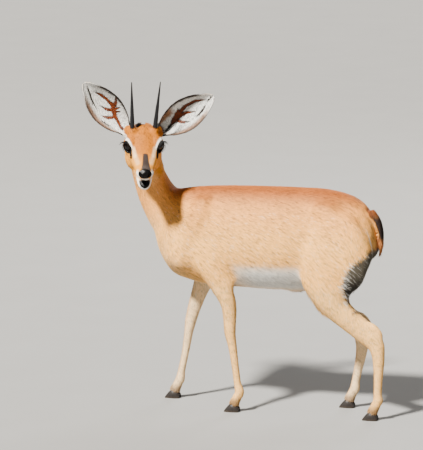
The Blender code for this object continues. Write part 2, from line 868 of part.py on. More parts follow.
def horn_shape(side, grow):
    """A straight tapering spike that leans a little, with its tip bent slightly forward."""
    forward, left, up = HORN_ROOT
    root = HEAD @ Vector((forward, left * HEAD_SIDES[side], up))
    level = Vector((math.sin(HEAD_TURN), -math.cos(HEAD_TURN), 0.0))
    across = Vector((math.cos(HEAD_TURN), math.sin(HEAD_TURN), 0.0))
    rows = []
    steps = 9
    for i in range(steps + 1):
        share = i / steps
        bend = level * (0.010 * share * share)
        lean = across * (HORN_LEAN[side] * HORN_LENGTH * share)
        rise = HORN_LENGTH * share - (grow if i == 0 else 0.0)
        radius = HORN_TIP + (HORN_BASE - HORN_TIP) * (1 - share**1.15) + grow
        if i in (2, 4):
            radius *= 1.05
        at = root + Vector((0, 0, rise)) + lean + bend
        rows.append((*at, radius, radius * 1.08, radius * 1.08))
    bm = bmesh.new()
    add_loft(bm, rows, across, steps=1, sides=HORN_SIDES)
    return bm


def make_horn(side, head):
    """A horn whose foot stands in a shallow socket of the skull."""
    boolean(head, [object_of("socket", horn_shape(side, GAP))], "DIFFERENCE")
    object_of(f"horn_{side}", horn_shape(side, 0.0), "horn")


def ear_frame(side):
    """Root, axis towards the tip, and the way that the cup opens."""
    way = HEAD_SIDES[side]
    forward, left, up = EAR_ROOT
    root = HEAD @ Vector((forward, left * way, up))
    level = Vector((math.sin(HEAD_TURN), -math.cos(HEAD_TURN), 0.0))
    across = Vector((math.cos(HEAD_TURN), math.sin(HEAD_TURN), 0.0))
    lean = EAR_LEAN[side]
    axis = across * math.sin(lean) + Vector((0, 0, 1)) * math.cos(lean) - level * 0.10
    axis.normalize()
    opening = level * 0.97 + Vector((0, 0, 1)) * 0.12 + across * 0.10 * way
    opening = (opening - axis * opening.dot(axis)).normalized()
    return root, axis, opening


def make_ear(side, *bodies):
    """A cupped leaf-shaped shell, rolled into a tube at its root."""
    root, axis, opening = ear_frame(side)
    across = axis.cross(opening)
    rows = smooth_rows(EAR_WIDTHS, 4)
    bm = bmesh.new()
    skins = []
    for inset in (0.0, EAR_WALL):
        skin = []
        for i in range(EAR_ROWS + 1):
            share, half_width, wrap = row_at(rows, i / EAR_ROWS)
            wrap = math.radians(wrap)
            radius = half_width / math.sin(min(wrap, math.pi / 2))
            line = []
            for k in range(EAR_COLUMNS + 1):
                turn = wrap * (2 * k / EAR_COLUMNS - 1)
                inner = radius - inset
                side_step = inner * math.sin(turn)
                depth = -(inner * math.cos(turn) - radius * math.cos(wrap))
                at = root + axis * (EAR_LENGTH * (share - inset * 2.5 * (share > 0.99)))
                line.append(bm.verts.new(at + across * side_step + opening * depth))
            skin.append(line)
        skins.append(skin)
    outer, inner = skins
    for i in range(EAR_ROWS):
        for k in range(EAR_COLUMNS):
            for skin in skins:
                a, b = skin[i][k], skin[i][k + 1]
                c, d = skin[i + 1][k + 1], skin[i + 1][k]
                bm.faces.new((a, b, c))
                bm.faces.new((a, c, d))
    for i in range(EAR_ROWS):
        for k in (0, EAR_COLUMNS):
            quad = (outer[i][k], outer[i + 1][k], inner[i + 1][k], inner[i][k])
            bm.faces.new(quad)
    for k in range(EAR_COLUMNS):
        for i in (0, EAR_ROWS):
            quad = (outer[i][k], outer[i][k + 1], inner[i][k + 1], inner[i][k])
            bm.faces.new(quad)
    ear = object_of(f"ear_{side}", bm, "ear")
    return set_against(ear, *bodies)


def row_at(rows, share):
    """The row of a smoothed table at a share of the way along its first column."""
    for low, high in zip(rows, rows[1:]):
        if share <= high[0]:
            t = (share - low[0]) / (high[0] - low[0])
            return [a + (b - a) * t for a, b in zip(low, high)]
    return rows[-1]


def make_tail(torso):
    rows = [(x, 0.0, z, wide, front, back) for x, z, wide, front, back in TAIL]
    bm = bmesh.new()
    add_loft(bm, rows, (0, -1, 0), steps=3, sides=14)
    tail = object_of("tail", bm, "coat")
    return set_against(tail, torso)


def make_claw(name, foot_x, y, way):
    """One claw: flat sole, arched wall, pointed toe, its top cut along the coronet."""
    place = (
        Matrix.Translation((foot_x, y + CLAW_SPREAD * way, 0.0))
        @ Matrix.Rotation(-CLAW_TOE_IN * way, 4, "Z")
    )
    arch = ((-1, 0), (-0.97, 0.42), (-0.66, 0.84), (0, 1), (0.66, 0.84), (0.97, 0.42), (1, 0))
    bm = bmesh.new()
    rings = []
    for x, half_width, height in smooth_rows(CLAW, 2):
        ring = [
            bm.verts.new(place @ Vector((x, half_width * a, height * b))) for a, b in arch
        ]
        rings.append(ring)
    for near, far in zip(rings, rings[1:]):
        for k in range(len(arch)):
            after = (k + 1) % len(arch)
            bm.faces.new((near[k], near[after], far[after], far[k]))
    bm.faces.new(rings[0])
    bm.faces.new(rings[-1])
    at, normal = coronet_plane(foot_x, y)
    top = at - normal * GAP
    bmesh.ops.recalc_face_normals(bm, faces=bm.faces)
    cut = bmesh.ops.bisect_plane(
        bm,
        geom=[*bm.verts, *bm.edges, *bm.faces],
        plane_co=top,
        plane_no=normal,
        clear_outer=True,
    )
    rim = [item for item in cut["geom_cut"] if isinstance(item, bmesh.types.BMEdge)]
    bmesh.ops.contextual_create(bm, geom=rim)
    return object_of(name, bm, "claw")


def make_claws():
    for name, foot_x, y in feet():
        outward = 1.0 if y > 0 else -1.0
        make_claw(f"claw_{name}_outer", foot_x, y, outward)
        make_claw(f"claw_{name}_inner", foot_x, y, -outward)


def centre_on_origin():
    """Moves every piece so that the origin is under the middle of the whole model's box."""
    shown = [o for o in bpy.data.objects if o.type == "MESH"]
    corners = [v.co for o in shown for v in o.data.vertices]
    low = [min(c[k] for c in corners) for k in range(3)]
    high = [max(c[k] for c in corners) for k in range(3)]
    shift = Matrix.Translation(
        (-(low[0] + high[0]) / 2, -(low[1] + high[1]) / 2, -low[2])
    )
    for o in shown:
        o.data.transform(shift)


def main():
    clear_scene()
    named = part_flesh(whole_flesh())
    head = named["head"]
    for side in HEAD_SIDES:
        make_ear(side, head, named["neck"])
    make_tail(named["torso"])
    finish_head(head)
    make_nose(head)
    for side in HEAD_SIDES:
        make_horn(side, head)
    make_eyes()
    make_claws()
    centre_on_origin()


main()
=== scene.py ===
# %% [markdown]
# A still, life-size steenbok, as a natural history museum would show it. The packed
# solids give the pose and every proportion. This lesson dresses them: one skin over all
# the flesh, a coat of short tufts that lie along the body, ears with their inner hair,
# wet eyes and nose, horns and hooves.
#
# The first cell loads the solids, sets each one's place into its points, and keeps only the meshes.

# %% Load the frame
import math

import bpy
import numpy as np
from mathutils import Matrix, Vector
from mathutils.kdtree import KDTree


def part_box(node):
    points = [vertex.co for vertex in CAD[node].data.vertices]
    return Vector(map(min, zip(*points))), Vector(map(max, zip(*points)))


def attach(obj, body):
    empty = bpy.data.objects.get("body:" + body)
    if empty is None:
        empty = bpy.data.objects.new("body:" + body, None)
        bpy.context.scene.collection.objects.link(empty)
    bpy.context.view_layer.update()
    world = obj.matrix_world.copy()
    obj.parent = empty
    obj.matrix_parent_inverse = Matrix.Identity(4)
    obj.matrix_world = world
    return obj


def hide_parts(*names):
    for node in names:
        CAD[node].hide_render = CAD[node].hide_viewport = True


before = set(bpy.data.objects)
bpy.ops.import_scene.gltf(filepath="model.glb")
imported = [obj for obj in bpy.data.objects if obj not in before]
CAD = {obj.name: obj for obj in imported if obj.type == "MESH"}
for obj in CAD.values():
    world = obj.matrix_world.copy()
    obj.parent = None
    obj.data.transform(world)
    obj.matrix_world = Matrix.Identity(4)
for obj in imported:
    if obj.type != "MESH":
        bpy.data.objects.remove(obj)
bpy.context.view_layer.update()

# %% [markdown]
# The head is turned over the left shoulder, so most of its markings are easiest to place
# in its own frame: forward to the nose, left, and up to the crown. The turn and the dip
# are those of the solids, and the middle of the two eyeballs fixes the origin. Other
# places are measured from a point on the floor under the middle of the trunk.

# %% The frames of the head and of the body
HEAD_TURN = math.radians(18.4)
HEAD_DROP = math.radians(29.0)
EYES_AHEAD = 0.0660
EYES_ABOVE = 0.0145

UP = np.array((0.0, 0.0, 1.0))
LEVEL = np.array((math.sin(HEAD_TURN), -math.cos(HEAD_TURN), 0.0))
ACROSS = np.array((math.cos(HEAD_TURN), math.sin(HEAD_TURN), 0.0))
FORWARD = LEVEL * math.cos(HEAD_DROP) - UP * math.sin(HEAD_DROP)
CROWN = LEVEL * math.sin(HEAD_DROP) + UP * math.cos(HEAD_DROP)
HEAD_AXES = np.array((FORWARD, ACROSS, CROWN))
SIDES = {"left": 1.0, "right": -1.0}


def middle(node):
    low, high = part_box(node)
    return np.array((low + high) / 2)


HEAD_AT = (middle("eye_left") + middle("eye_right")) / 2
HEAD_AT = HEAD_AT - FORWARD * EYES_AHEAD - CROWN * EYES_ABOVE
HEAD_OVER_BODY = np.array((-0.2897, -0.0391, 0.6562))
BODY_AT = HEAD_AT - HEAD_OVER_BODY


def in_head(points):
    """Points of the model as forward, left and up in the head's frame."""
    return (points - HEAD_AT) @ HEAD_AXES.T


def from_head(forward, left, up):
    return HEAD_AT + forward * FORWARD + left * ACROSS + up * CROWN


print("head at", HEAD_AT.round(4), "body at", BODY_AT.round(4))

# %% [markdown]
# The camera stands off the animal's left shoulder, a little above it, with a long lens
# from far off. It could be placed by eye, but then a change to one setting upsets the
# others. So its place is worked out from the middle of the picture, the distance and the
# height of the view. It is made first, so that every later cell can be looked at from
# where it counts.

# %% The camera
AZIMUTH = math.radians(15.0)
ELEVATION = math.radians(10.0)
CAMERA_DISTANCE = 9.0
VIEW_HEIGHT = 1.071
VIEW_ACROSS = -0.1273
VIEW_UP = 0.4355
SENSOR = 36.0


def add_camera():
    back = Vector(
        (
            math.sin(AZIMUTH) * math.cos(ELEVATION),
            -math.cos(AZIMUTH) * math.cos(ELEVATION),
            math.sin(ELEVATION),
        )
    )
    right = Vector((math.cos(AZIMUTH), math.sin(AZIMUTH), 0.0))
    up = back.cross(right)
    target = Vector(BODY_AT) + right * VIEW_ACROSS + up * VIEW_UP
    lens = bpy.data.cameras.new("camera")
    lens.sensor_width = SENSOR
    lens.lens = SENSOR * CAMERA_DISTANCE / VIEW_HEIGHT
    camera = bpy.data.objects.new("camera", lens)
    camera.location = target + back * CAMERA_DISTANCE
    camera.rotation_mode = "QUATERNION"
    camera.rotation_quaternion = (-back).to_track_quat("-Z", "Y")
    bpy.context.scene.collection.objects.link(camera)
    bpy.context.scene.camera = camera
    return camera


camera = add_camera()
print("camera height:", round(camera.location.z, 2))

# %% [markdown]
# A material is a tree of nodes. It could be drawn in the editor, or each node and link
# could take a line of its own. Writing the tree as sums is shorter to read: the small
# class below wraps a socket, and a sum, a product or a power written with it adds the
# Math nodes. A second class holds one finish and adds any other node by its type, its
# settings and what feeds it.

# %% Shader sums


class Sum:
    """A socket that can stand in a plain sum."""

    def __init__(self, finish, socket):
        self.finish = finish
        self.socket = socket

    def math(self, operation, first, second):
        return self.finish.node("Math", {"operation": operation}, {0: first, 1: second})

    def __add__(self, other):
        return self.math("ADD", self, other)

    def __sub__(self, other):
        return self.math("SUBTRACT", self, other)

    def __rsub__(self, other):
        return self.math("SUBTRACT", other, self)

    def __mul__(self, other):
        return self.math("MULTIPLY", self, other)

    def __pow__(self, other):
        return self.math("POWER", self, other)

    __radd__ = __add__
    __rmul__ = __mul__


class Finish:
    """A material with one shader, and a method that adds any node before it."""

    def __init__(self, name, **shader):
        self.material = bpy.data.materials.new(name)
        self.material.use_nodes = True
        self.tree = self.material.node_tree
        self.tree.nodes.clear()
        self.shader = self.tree.nodes.new("ShaderNodeBsdfPrincipled")
        out = self.tree.nodes.new("ShaderNodeOutputMaterial")
        self.tree.links.new(self.shader.outputs[0], out.inputs["Surface"])
        for socket, value in shader.items():
            self.shader.inputs[socket.replace("_", " ")].default_value = value

    def feed(self, socket, value):
        """Links a sum to the socket, or sets the socket to a constant."""
        if isinstance(value, Sum):
            self.tree.links.new(value.socket, socket)
        else:
            socket.default_value = value

    def node(self, kind, settings=None, feeds=None, out=0):
        """Adds a node and gives back one of its outputs."""
        made = self.tree.nodes.new("ShaderNode" + kind)
        for name, value in (settings or {}).items():
            setattr(made, name, value)
        for name, value in (feeds or {}).items():
            self.feed(made.inputs[name], value)
        return Sum(self, made.outputs[out])

    def mix(self, first, second, share):
        """The second colour laid over the first by a share."""
        return self.node("Mix", {"data_type": "RGBA"}, {0: share, 6: first, 7: second}, out=2)

    def place(self, turn=(0, 0, 0), stretch=(1, 1, 1), at=(0, 0, 0)):
        """Object coordinates, centred, turned and stretched."""
        raw = self.node("TexCoord", out=3)
        settings = {"vector_type": "TEXTURE"}
        feeds = {"Vector": raw, "Location": at, "Rotation": turn, "Scale": stretch}
        return self.node("Mapping", settings, feeds)

    def noise(self, scale, detail=2.0, where=None):
        feeds = {"Scale": scale, "Detail": detail, "Vector": where or self.place()}
        return self.node("TexNoise", None, feeds)

    def ramp(self, value, low, high, at_low=0.0, at_high=1.0):
        """A straight slope between two values, level beyond them."""
        feeds = {0: value, 1: low, 2: high, 3: at_low, 4: at_high}
        return self.node("MapRange", None, feeds)

    def split(self, where):
        """The three coordinates of a place, a sum for each."""
        parts = self.node("SeparateXYZ", None, {0: where}).socket.node
        return [Sum(self, socket) for socket in parts.outputs]

    def attribute(self, name, out=0):
        return self.node("Attribute", {"attribute_name": name}, out=out)

    def bump(self, height, strength, distance):
        feeds = {"Height": height, "Strength": strength, "Distance": distance}
        return self.node("Bump", None, feeds)

    def set(self, **sockets):
        """Feeds the shader's own sockets and gives back the material."""
        for name, value in sockets.items():
            self.feed(self.shader.inputs[name.replace("_", " ")], value)
        return self.material


def rgb(red, green, blue):
    return (red, green, blue, 1.0)


print("shader sums ready")

# %% [markdown]
# The floor is one wide pale sheet, a little mottled, so that the soft shadows under the
# hooves show. One lamp alone would leave the shadows black, and a picture of a sky could
# light it all at once. Three lamps and a plain air are chosen because each can be set by
# itself: a soft sun high in front, which lets the head shade the neck, a broad weak lamp
# from the right, one behind that draws a light edge along the back, and a faint cool
# light from all around.

# %% Floor, lamps and air
FLOOR_HALF = 30.0
FLOOR_PALE = rgb(0.23, 0.228, 0.222)
FLOOR_PALER = rgb(0.252, 0.25, 0.243)
LAMPS_AIM = Vector((0.0, 0.0, 0.40))
AIR_COLOUR = rgb(0.86, 0.91, 1.0)
AIR_STRENGTH = 0.14


def add_floor():
    bpy.ops.object.select_all(action="DESELECT")
    bpy.ops.mesh.primitive_plane_add(size=2 * FLOOR_HALF, location=(0, 0, 0))
    floor = bpy.context.object
    floor.name = "floor"
    bpy.ops.object.mode_set(mode="EDIT")
    bpy.ops.mesh.subdivide(number_cuts=8)
    bpy.ops.object.mode_set(mode="OBJECT")
    finish = Finish("floor_paint", Roughness=0.85)
    mottle = finish.noise(6.0, 4.0)
    colour = finish.mix(FLOOR_PALE, FLOOR_PALER, mottle)
    floor.data.materials.append(finish.set(Base_Color=colour))


def add_lamp(name, kind, at, size, power, colour):
    """A lamp aimed at the animal. The size is an angle for a sun, and else a width."""
    lamp = bpy.data.lights.new(name, kind)
    if kind == "SUN":
        lamp.angle = size
    else:
        lamp.shape = "DISK"
        lamp.size = size
    lamp.energy = power
    lamp.color = colour
    holder = bpy.data.objects.new(name, lamp)
    holder.location = at
    aim = LAMPS_AIM - Vector(at)
    holder.rotation_mode = "QUATERNION"
    holder.rotation_quaternion = aim.to_track_quat("-Z", "Y")
    bpy.context.scene.collection.objects.link(holder)


def add_air():
    world = bpy.data.worlds.new("air")
    world.use_nodes = True
    background = world.node_tree.nodes["Background"]
    background.inputs["Color"].default_value = AIR_COLOUR
    background.inputs["Strength"].default_value = AIR_STRENGTH
    bpy.context.scene.world = world


add_floor()
add_lamp(
    "key_lamp", "SUN", at=(-1.55, -3.10, 4.22), size=0.11, power=16.5, colour=(1.0, 0.955, 0.88)
)
add_lamp(
    "fill_lamp", "AREA", at=(2.6, -3.2, 1.6), size=2.6, power=9.0, colour=(1.0, 0.97, 0.93)
)
add_lamp(
    "back_lamp", "AREA", at=(0.8, 3.2, 2.8), size=1.6, power=110.0, colour=(1.0, 0.97, 0.92)
)
add_air()
print("floor, three lamps and air")

# %% [markdown]
# Several pieces start as a copy of a solid. A solid of the frame is loose triangles that
# must stay as they are, so it is copied first and the copy's doubled points are merged.
# An operator works on all that is selected, so only the piece in hand ever is. A modifier
# could stay live on its piece, but it is applied at once, so that the next step can read
# the points.

# %% Helpers for pieces


def only(piece):
    """Selects this piece and nothing else."""
    bpy.ops.object.select_all(action="DESELECT")
    piece.select_set(True)
    bpy.context.view_layer.objects.active = piece
    return piece


def link(name, mesh):
    piece = bpy.data.objects.new(name, mesh)
    bpy.context.scene.collection.objects.link(piece)
    return piece


def copy_of(node, name):
    """The solid's shape as a new merged mesh."""
    piece = link(name, CAD[node].data.copy())
    piece.data.materials.clear()
    only(piece)
    bpy.ops.object.mode_set(mode="EDIT")
    bpy.ops.mesh.select_all(action="SELECT")
    bpy.ops.mesh.remove_doubles(threshold=0.00001)
    bpy.ops.object.mode_set(mode="OBJECT")
    return piece


def modify(piece, kind, **settings):
    """Adds one modifier and applies it."""
    only(piece)
    modifier = piece.modifiers.new(kind.lower(), kind)
    for name, value in settings.items():
        setattr(modifier, name, value)
    bpy.ops.object.modifier_apply(modifier=modifier.name)
    return piece


print("helpers for pieces ready")

# %% [markdown]
# Many thousand points are read and written at once as arrays, which is far quicker than
# one by one. A mesh can also keep a colour or a number for each of its points.

# %% Helpers for meshes


def read_vertices(mesh, what):
    flat = np.empty(len(mesh.vertices) * 3, np.float32)
    mesh.vertices.foreach_get(what, flat)
    return flat.reshape(-1, 3).astype(float)


def points_of(mesh):
    return read_vertices(mesh, "co")


def normals_of(mesh):
    return read_vertices(mesh, "normal")


def set_points(mesh, points):
    mesh.vertices.foreach_set("co", points.astype(np.float32).ravel())
    mesh.update()


def triangles_of(mesh):
    mesh.calc_loop_triangles()
    flat = np.empty(len(mesh.loop_triangles) * 3, np.int32)
    mesh.loop_triangles.foreach_get("vertices", flat)
    return flat.reshape(-1, 3)


def mesh_from(name, points, faces):
    """A mesh from arrays of points and of triangles."""
    mesh = bpy.data.meshes.new(name)
    mesh.vertices.add(len(points))
    mesh.vertices.foreach_set("co", points.astype(np.float32).ravel())
    mesh.loops.add(faces.size)
    mesh.loops.foreach_set("vertex_index", faces.astype(np.int32).ravel())
    mesh.polygons.add(len(faces))
    starts = np.arange(0, faces.size, 3, dtype=np.int32)
    mesh.polygons.foreach_set("loop_start", starts)
    mesh.update(calc_edges=True)
    return mesh


def paint(mesh, name, colours):
    """One colour for each point, kept with the mesh."""
    full = np.ones((len(colours), 4), np.float32)
    full[:, :3] = colours
    layer = mesh.color_attributes.new(name, "FLOAT_COLOR", "POINT")
    layer.data.foreach_set("color", full.ravel())


def number(mesh, name, values):
    """One number for each point, kept with the mesh."""
    layer = mesh.attributes.new(name, "FLOAT", "POINT")
    layer.data.foreach_set("value", values.astype(np.float32))


def weigh(piece, name, weights):
    """A vertex group from an array of weights, in steps of a tenth."""
    group = piece.vertex_groups.new(name=name)
    tenths = np.round(weights * 10).astype(int)
    for tenth in range(1, 11):
        members = np.nonzero(tenths == tenth)[0].tolist()
        if members:
            group.add(members, tenth / 10, "REPLACE")


print("helpers for meshes ready")

# %% [markdown]
# Three small sums come up all the time: a soft step from 0 to 1, which makes every mask,
# vectors brought to a length of one, and vectors pressed flat onto a surface.

# %% Helpers for masks and vectors


def step_up(low, high, value):
    """0 below low, 1 above high, and a soft slope between. Low may be the greater one."""
    share = np.clip((value - low) / (high - low), 0.0, 1.0)
    return share * share * (3 - 2 * share)


def unit(vectors):
    length = np.linalg.norm(vectors, axis=-1, keepdims=True)
    return vectors / np.maximum(length, 1e-9)


def laid_flat(vectors, normals):
    """The vectors pressed flat onto the surfaces with these normals."""
    return unit(vectors - normals * np.sum(vectors * normals, axis=1, keepdims=True))


print("half way up a soft step:", step_up(0.0, 1.0, 0.5))

# %% [markdown]
# An animal has one skin from the lips to the hooves, but the solids under it are parted
# by thin gaps. Sewing their edges together by hand would be slow and would leave seams.
# So copies of them are swelled by more than half the gap, joined, remeshed finely and
# smoothed: much on the trunk, whose facets must go, and little on the head, whose lids
# and lips must stay. Then the body is thinned, where the coat hides it.

# %% The skin's shape
FLESH = [
    "head",
    "neck",
    "torso",
    "tail",
    "thigh_left",
    "thigh_right",
    "forearm_left",
    "forearm_right",
    "fore_shin_left",
    "fore_shin_right",
    "hind_shin_left",
    "hind_shin_right",
]
GAP_SWELL = 0.0004
SKIN_VOXEL = 0.0016
SKIN_TRIANGLES = 170000
BODY_SMOOTH = 70
HEAD_SMOOTH = 3
LOW_LEG_FROM, LOW_LEG_TO = 0.10, 0.26
LOW_LEG_KEEPS = 0.75


def head_share(points):
    """1 on the head, 0 on the neck and body."""
    forward, left, up = in_head(points).T
    ahead = step_up(-0.010, 0.020, forward)
    near = 1 - step_up(0.085, 0.100, np.abs(left))
    level = 1 - step_up(0.075, 0.090, np.abs(up + 0.005))
    return ahead * near * level


def join_flesh():
    copies = [copy_of(node, "flesh_" + node) for node in FLESH]
    bpy.ops.object.select_all(action="DESELECT")
    for piece in copies:
        piece.select_set(True)
    bpy.context.view_layer.objects.active = copies[0]
    bpy.ops.object.join()
    skin = bpy.context.object
    skin.name = "skin"
    modify(skin, "DISPLACE", strength=GAP_SWELL, mid_level=0.0)
    modify(skin, "REMESH", mode="VOXEL", voxel_size=SKIN_VOXEL)
    return skin


def smooth_skin(skin):
    points = points_of(skin.data)
    low_leg = 1 - step_up(LOW_LEG_FROM, LOW_LEG_TO, points[:, 2])
    weigh(skin, "body", (1 - head_share(points)) * (1 - LOW_LEG_KEEPS * low_leg))
    modify(skin, "SMOOTH", factor=0.5, iterations=HEAD_SMOOTH)
    modify(skin, "SMOOTH", factor=0.5, iterations=BODY_SMOOTH, vertex_group="body")
    return skin


def thin_skin(skin):
    """Fewer triangles on the body than on the head."""
    weigh(skin, "keep", 0.5 * head_share(points_of(skin.data)))
    total = sum(len(face.vertices) - 2 for face in skin.data.polygons)
    modify(
        skin,
        "DECIMATE",
        ratio=SKIN_TRIANGLES / total,
        vertex_group="keep",
        invert_vertex_group=True,
        vertex_group_factor=0.0002,
    )
    skin.vertex_groups.clear()
    return skin


skin = thin_skin(smooth_skin(join_flesh()))
print("skin:", len(skin.data.vertices), "points", len(skin.data.polygons), "faces")

# %% [markdown]
# A coat has depth: the tips of the hair are the outline, and the skin lies below it. The
# solids stand for the outline, so the skin is drawn in. One depth all over would drown
# the face. So it changes over the body: a few millimetres on the trunk, less than one on
# the face and the shins, and nothing where the skin meets an eyeball, the nose pad or a
# hoof.

# %% The coat's depth
COAT_DEPTH = 0.0022
FACE_DEPTH = 0.0008
SHIN_DEPTH = 0.0008
EYE_RADIUS = (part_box("eye_left")[1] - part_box("eye_left")[0]).z / 2
EYE_CENTRES = {side: middle("eye_" + side) for side in SIDES}
NOSE_CENTRE = middle("nose")
HOOF_TOP = 0.026


def coat_depth(points):
    on_head = head_share(points)
    low_leg = 1 - step_up(0.12, 0.26, points[:, 2])
    depth = COAT_DEPTH + (SHIN_DEPTH - COAT_DEPTH) * low_leg
    depth = depth + (FACE_DEPTH - depth) * on_head
    for centre in EYE_CENTRES.values():
        away = np.linalg.norm(points - centre, axis=1)
        depth *= step_up(EYE_RADIUS + 0.0030, EYE_RADIUS + 0.0090, away)
    depth *= step_up(0.014, 0.024, np.linalg.norm(points - NOSE_CENTRE, axis=1))
    return depth * step_up(HOOF_TOP, HOOF_TOP + 0.010, points[:, 2])


points = points_of(skin.data)
points -= normals_of(skin.data) * coat_depth(points)[:, None]
set_points(skin.data, points)
print("skin drawn in by up to", COAT_DEPTH * 1000, "mm")

# %% [markdown]
# The coat is a warm fawn, redder along the back, paler down the flank and legs, and white
# underneath. It could be painted by hand onto a picture. Here the pattern is written as
# functions of a place on the body, because the skin and every tuft can both read them,
# and so they can't disagree. Colours are linear light.

# %% The colours of the body
FAWN = np.array((0.760, 0.320, 0.070))
BACK_RED = np.array((0.330, 0.090, 0.015))
FLANK = np.array((0.870, 0.435, 0.105))
CREAM = np.array((0.860, 0.640, 0.380))
WHITE = np.array((0.840, 0.810, 0.740))
LEG_FAWN = np.array((0.860, 0.480, 0.150))
GREY_BROWN = np.array((0.130, 0.070, 0.040))
BLACK = np.array((0.003, 0.003, 0.003))
# painted shade on the white hair behind the thigh, grey above and darker below
THIGH_SHADE = np.array((0.075, 0.064, 0.046))
THIGH_DEEP_SHADE = np.array((0.014, 0.012, 0.010))
# painted shade down the rear of the tail
TAIL_REAR_SHADE = np.array((0.020, 0.011, 0.008))
TAIL_ORANGE = np.array((0.330, 0.115, 0.030))


def over(base, colour, mask):
    """The colour laid over the base where the mask says."""
    return base + (colour - base) * np.clip(mask, 0.0, 1.0)[:, None]


print("halfway from fawn to white:", over(FAWN[None], WHITE, np.array([0.5]))[0].round(3))

# %% [markdown]
# Each mark here is a soft mask between 0 and 1, placed in metres from the point under the trunk.
# The largest of these is painted shade behind the thigh: the hair there is white, and it is painted
# grey, and darker downwards, as the shade that it lies in. A few heights, each with the place of
# its edge, draw the patch's bent outline and are easy to move. The tail is orange, with a red root
# and painted shade down its rear, and a white line runs down the rump beside it.

# %% Thigh and tail
# the edge of the painted shade behind the thigh: height, and how far back it starts
SHADE_PATCH_HEIGHTS = (0.262, 0.282, 0.302, 0.322, 0.334, 0.355, 0.373, 0.388, 0.402)
SHADE_PATCH_EDGE = (0.224, 0.213, 0.208, 0.203, 0.205, 0.212, 0.225, 0.242, 0.257)


def past_edge(points):
    """How far a place lies behind the front edge of the painted shade patch."""
    x, _, z = (points - BODY_AT).T
    ripple = 0.004 * np.sin(z * 900.0) * np.sin(z * 343.0)
    return x - np.interp(z, SHADE_PATCH_HEIGHTS, SHADE_PATCH_EDGE) + ripple


def thigh_shade_patch(points):
    # where painted shade lies on the white hair behind the thigh
    z = points[:, 2] - BODY_AT[2]
    within = step_up(0.250, 0.262, z) * step_up(0.416, 0.405, z)
    return step_up(-0.003, 0.005, past_edge(points)) * within


def near_line(places, first, last, width, soft):
    """A mask along a straight stroke between two places."""
    first, last = np.array(first), np.array(last)
    along = last - first
    share = np.clip(((places - first) @ along) / (along @ along), 0, 1)
    gap = np.linalg.norm(places - first - share[:, None] * along, axis=1)
    return step_up(width + soft, width, gap)


# the middle of the tail: height, and how far back it hangs
TAIL_HEIGHTS = (0.385, 0.410, 0.440, 0.468, 0.487)
TAIL_LINE = (0.2755, 0.2800, 0.2785, 0.2690, 0.2520)
TAIL_LOWEST = 0.376
# the white line beside the tail, from its top past a bend to its foot
RUMP_LINE_TOP = (0.253, 0.0410, 0.452)
RUMP_LINE_BEND = (0.2615, 0.0450, 0.432)
RUMP_LINE_FOOT = (0.268, 0.0435, 0.402)


def tail_colours(points, colours):
    """An orange tail with a red root and painted shade down its rear, and a white line beside it.
    """
    x, y, z = (points - BODY_AT).T
    behind = x - np.interp(z, TAIL_HEIGHTS, TAIL_LINE)
    on_tail = step_up(0.0150, 0.0115, np.abs(y)) * (z > TAIL_LOWEST)
    low = step_up(-0.013, -0.009, behind) * step_up(0.437, 0.424, z)
    colours = over(colours, TAIL_ORANGE, on_tail * low)
    root = on_tail * step_up(0.468, 0.484, z) * step_up(0.236, 0.246, x)
    colours = over(colours, BACK_RED * 0.6, root)
    # painted shade down the rear of the tail, the side that faces away from the light
    rear = step_up(-0.006, -0.001, behind) * step_up(0.421, 0.431, z) * step_up(0.492, 0.472, z)
    colours = over(colours, TAIL_REAR_SHADE, on_tail * rear)
    folded = np.stack((x, np.abs(y), z), axis=1)
    upper = near_line(folded, RUMP_LINE_TOP, RUMP_LINE_BEND, 0.0008, 0.0026)
    lower = near_line(folded, RUMP_LINE_BEND, RUMP_LINE_FOOT, 0.0012, 0.0026)
    return over(colours, WHITE, np.maximum(upper, lower) * 0.9)


print("markings of thigh and tail ready")

# %% [markdown]
# The rest of the body changes slowly. The back is red where it faces up, the legs are
# pale inside, the belly and the groin are white, and the throat is a little paler than
# the nape. So most of these masks follow the way that the skin faces, and need no drawn
# edge.

# %% Trunk, legs and neck


def body_colours(points, normals):
    """Trunk, legs and tail. x runs back, y to the left, and z is the height."""
    x, y, z = (points - BODY_AT).T
    facing_up = normals[:, 2]
    colours = np.tile(FAWN, (len(points), 1))
    colours = over(colours, FLANK, step_up(0.50, 0.40, z) * 0.9)
    back = step_up(0.10, 0.88, facing_up) * step_up(0.47, 0.53, z)
    colours = over(colours, BACK_RED, back)
    chest = step_up(-0.16, -0.24, x) * step_up(0.50, 0.42, z) * step_up(0.2, -0.5, facing_up)
    colours = over(colours, CREAM, chest * 0.35)
    # legs, pale on their inner sides and darker down the front of the shins
    inner = np.sign(y) * normals[:, 1]
    leg = step_up(0.335, 0.285, z)
    colours = over(colours, LEG_FAWN, leg)
    colours = over(colours, CREAM, leg * step_up(0.1, -0.6, inner) * 0.75)
    shin = step_up(0.35, 0.85, -normals[:, 0]) * step_up(0.30, 0.24, z) * step_up(0.03, 0.06, z)
    colours = over(colours, FAWN * 0.72, shin * 0.5)
    # white belly and groin, without the front edge of the thighs
    belly = step_up(-0.15, -0.50, facing_up) * step_up(0.372, 0.348, z) * step_up(0.28, 0.31, z)
    belly *= np.maximum(step_up(0.115, 0.085, x), step_up(0.060, 0.045, np.abs(y)))
    colours = over(colours, WHITE, belly * step_up(-0.13, -0.01, x))
    groin = step_up(0.058, 0.040, np.abs(y)) * step_up(-0.45, -0.8, inner) * step_up(0.40, 0.37, z)
    colours = over(colours, WHITE, groin * step_up(0.24, 0.28, z) * step_up(-0.17, -0.10, x))
    # painted shade on the white hair behind the thigh, darker downwards
    low = step_up(0.360, 0.315, z)[:, None]
    patch = THIGH_SHADE + (THIGH_DEEP_SHADE - THIGH_SHADE) * low
    colours = over(colours, patch, thigh_shade_patch(points))
    colours = tail_colours(points, colours)
    return over(colours, GREY_BROWN, step_up(0.040, 0.028, z) * 0.75)


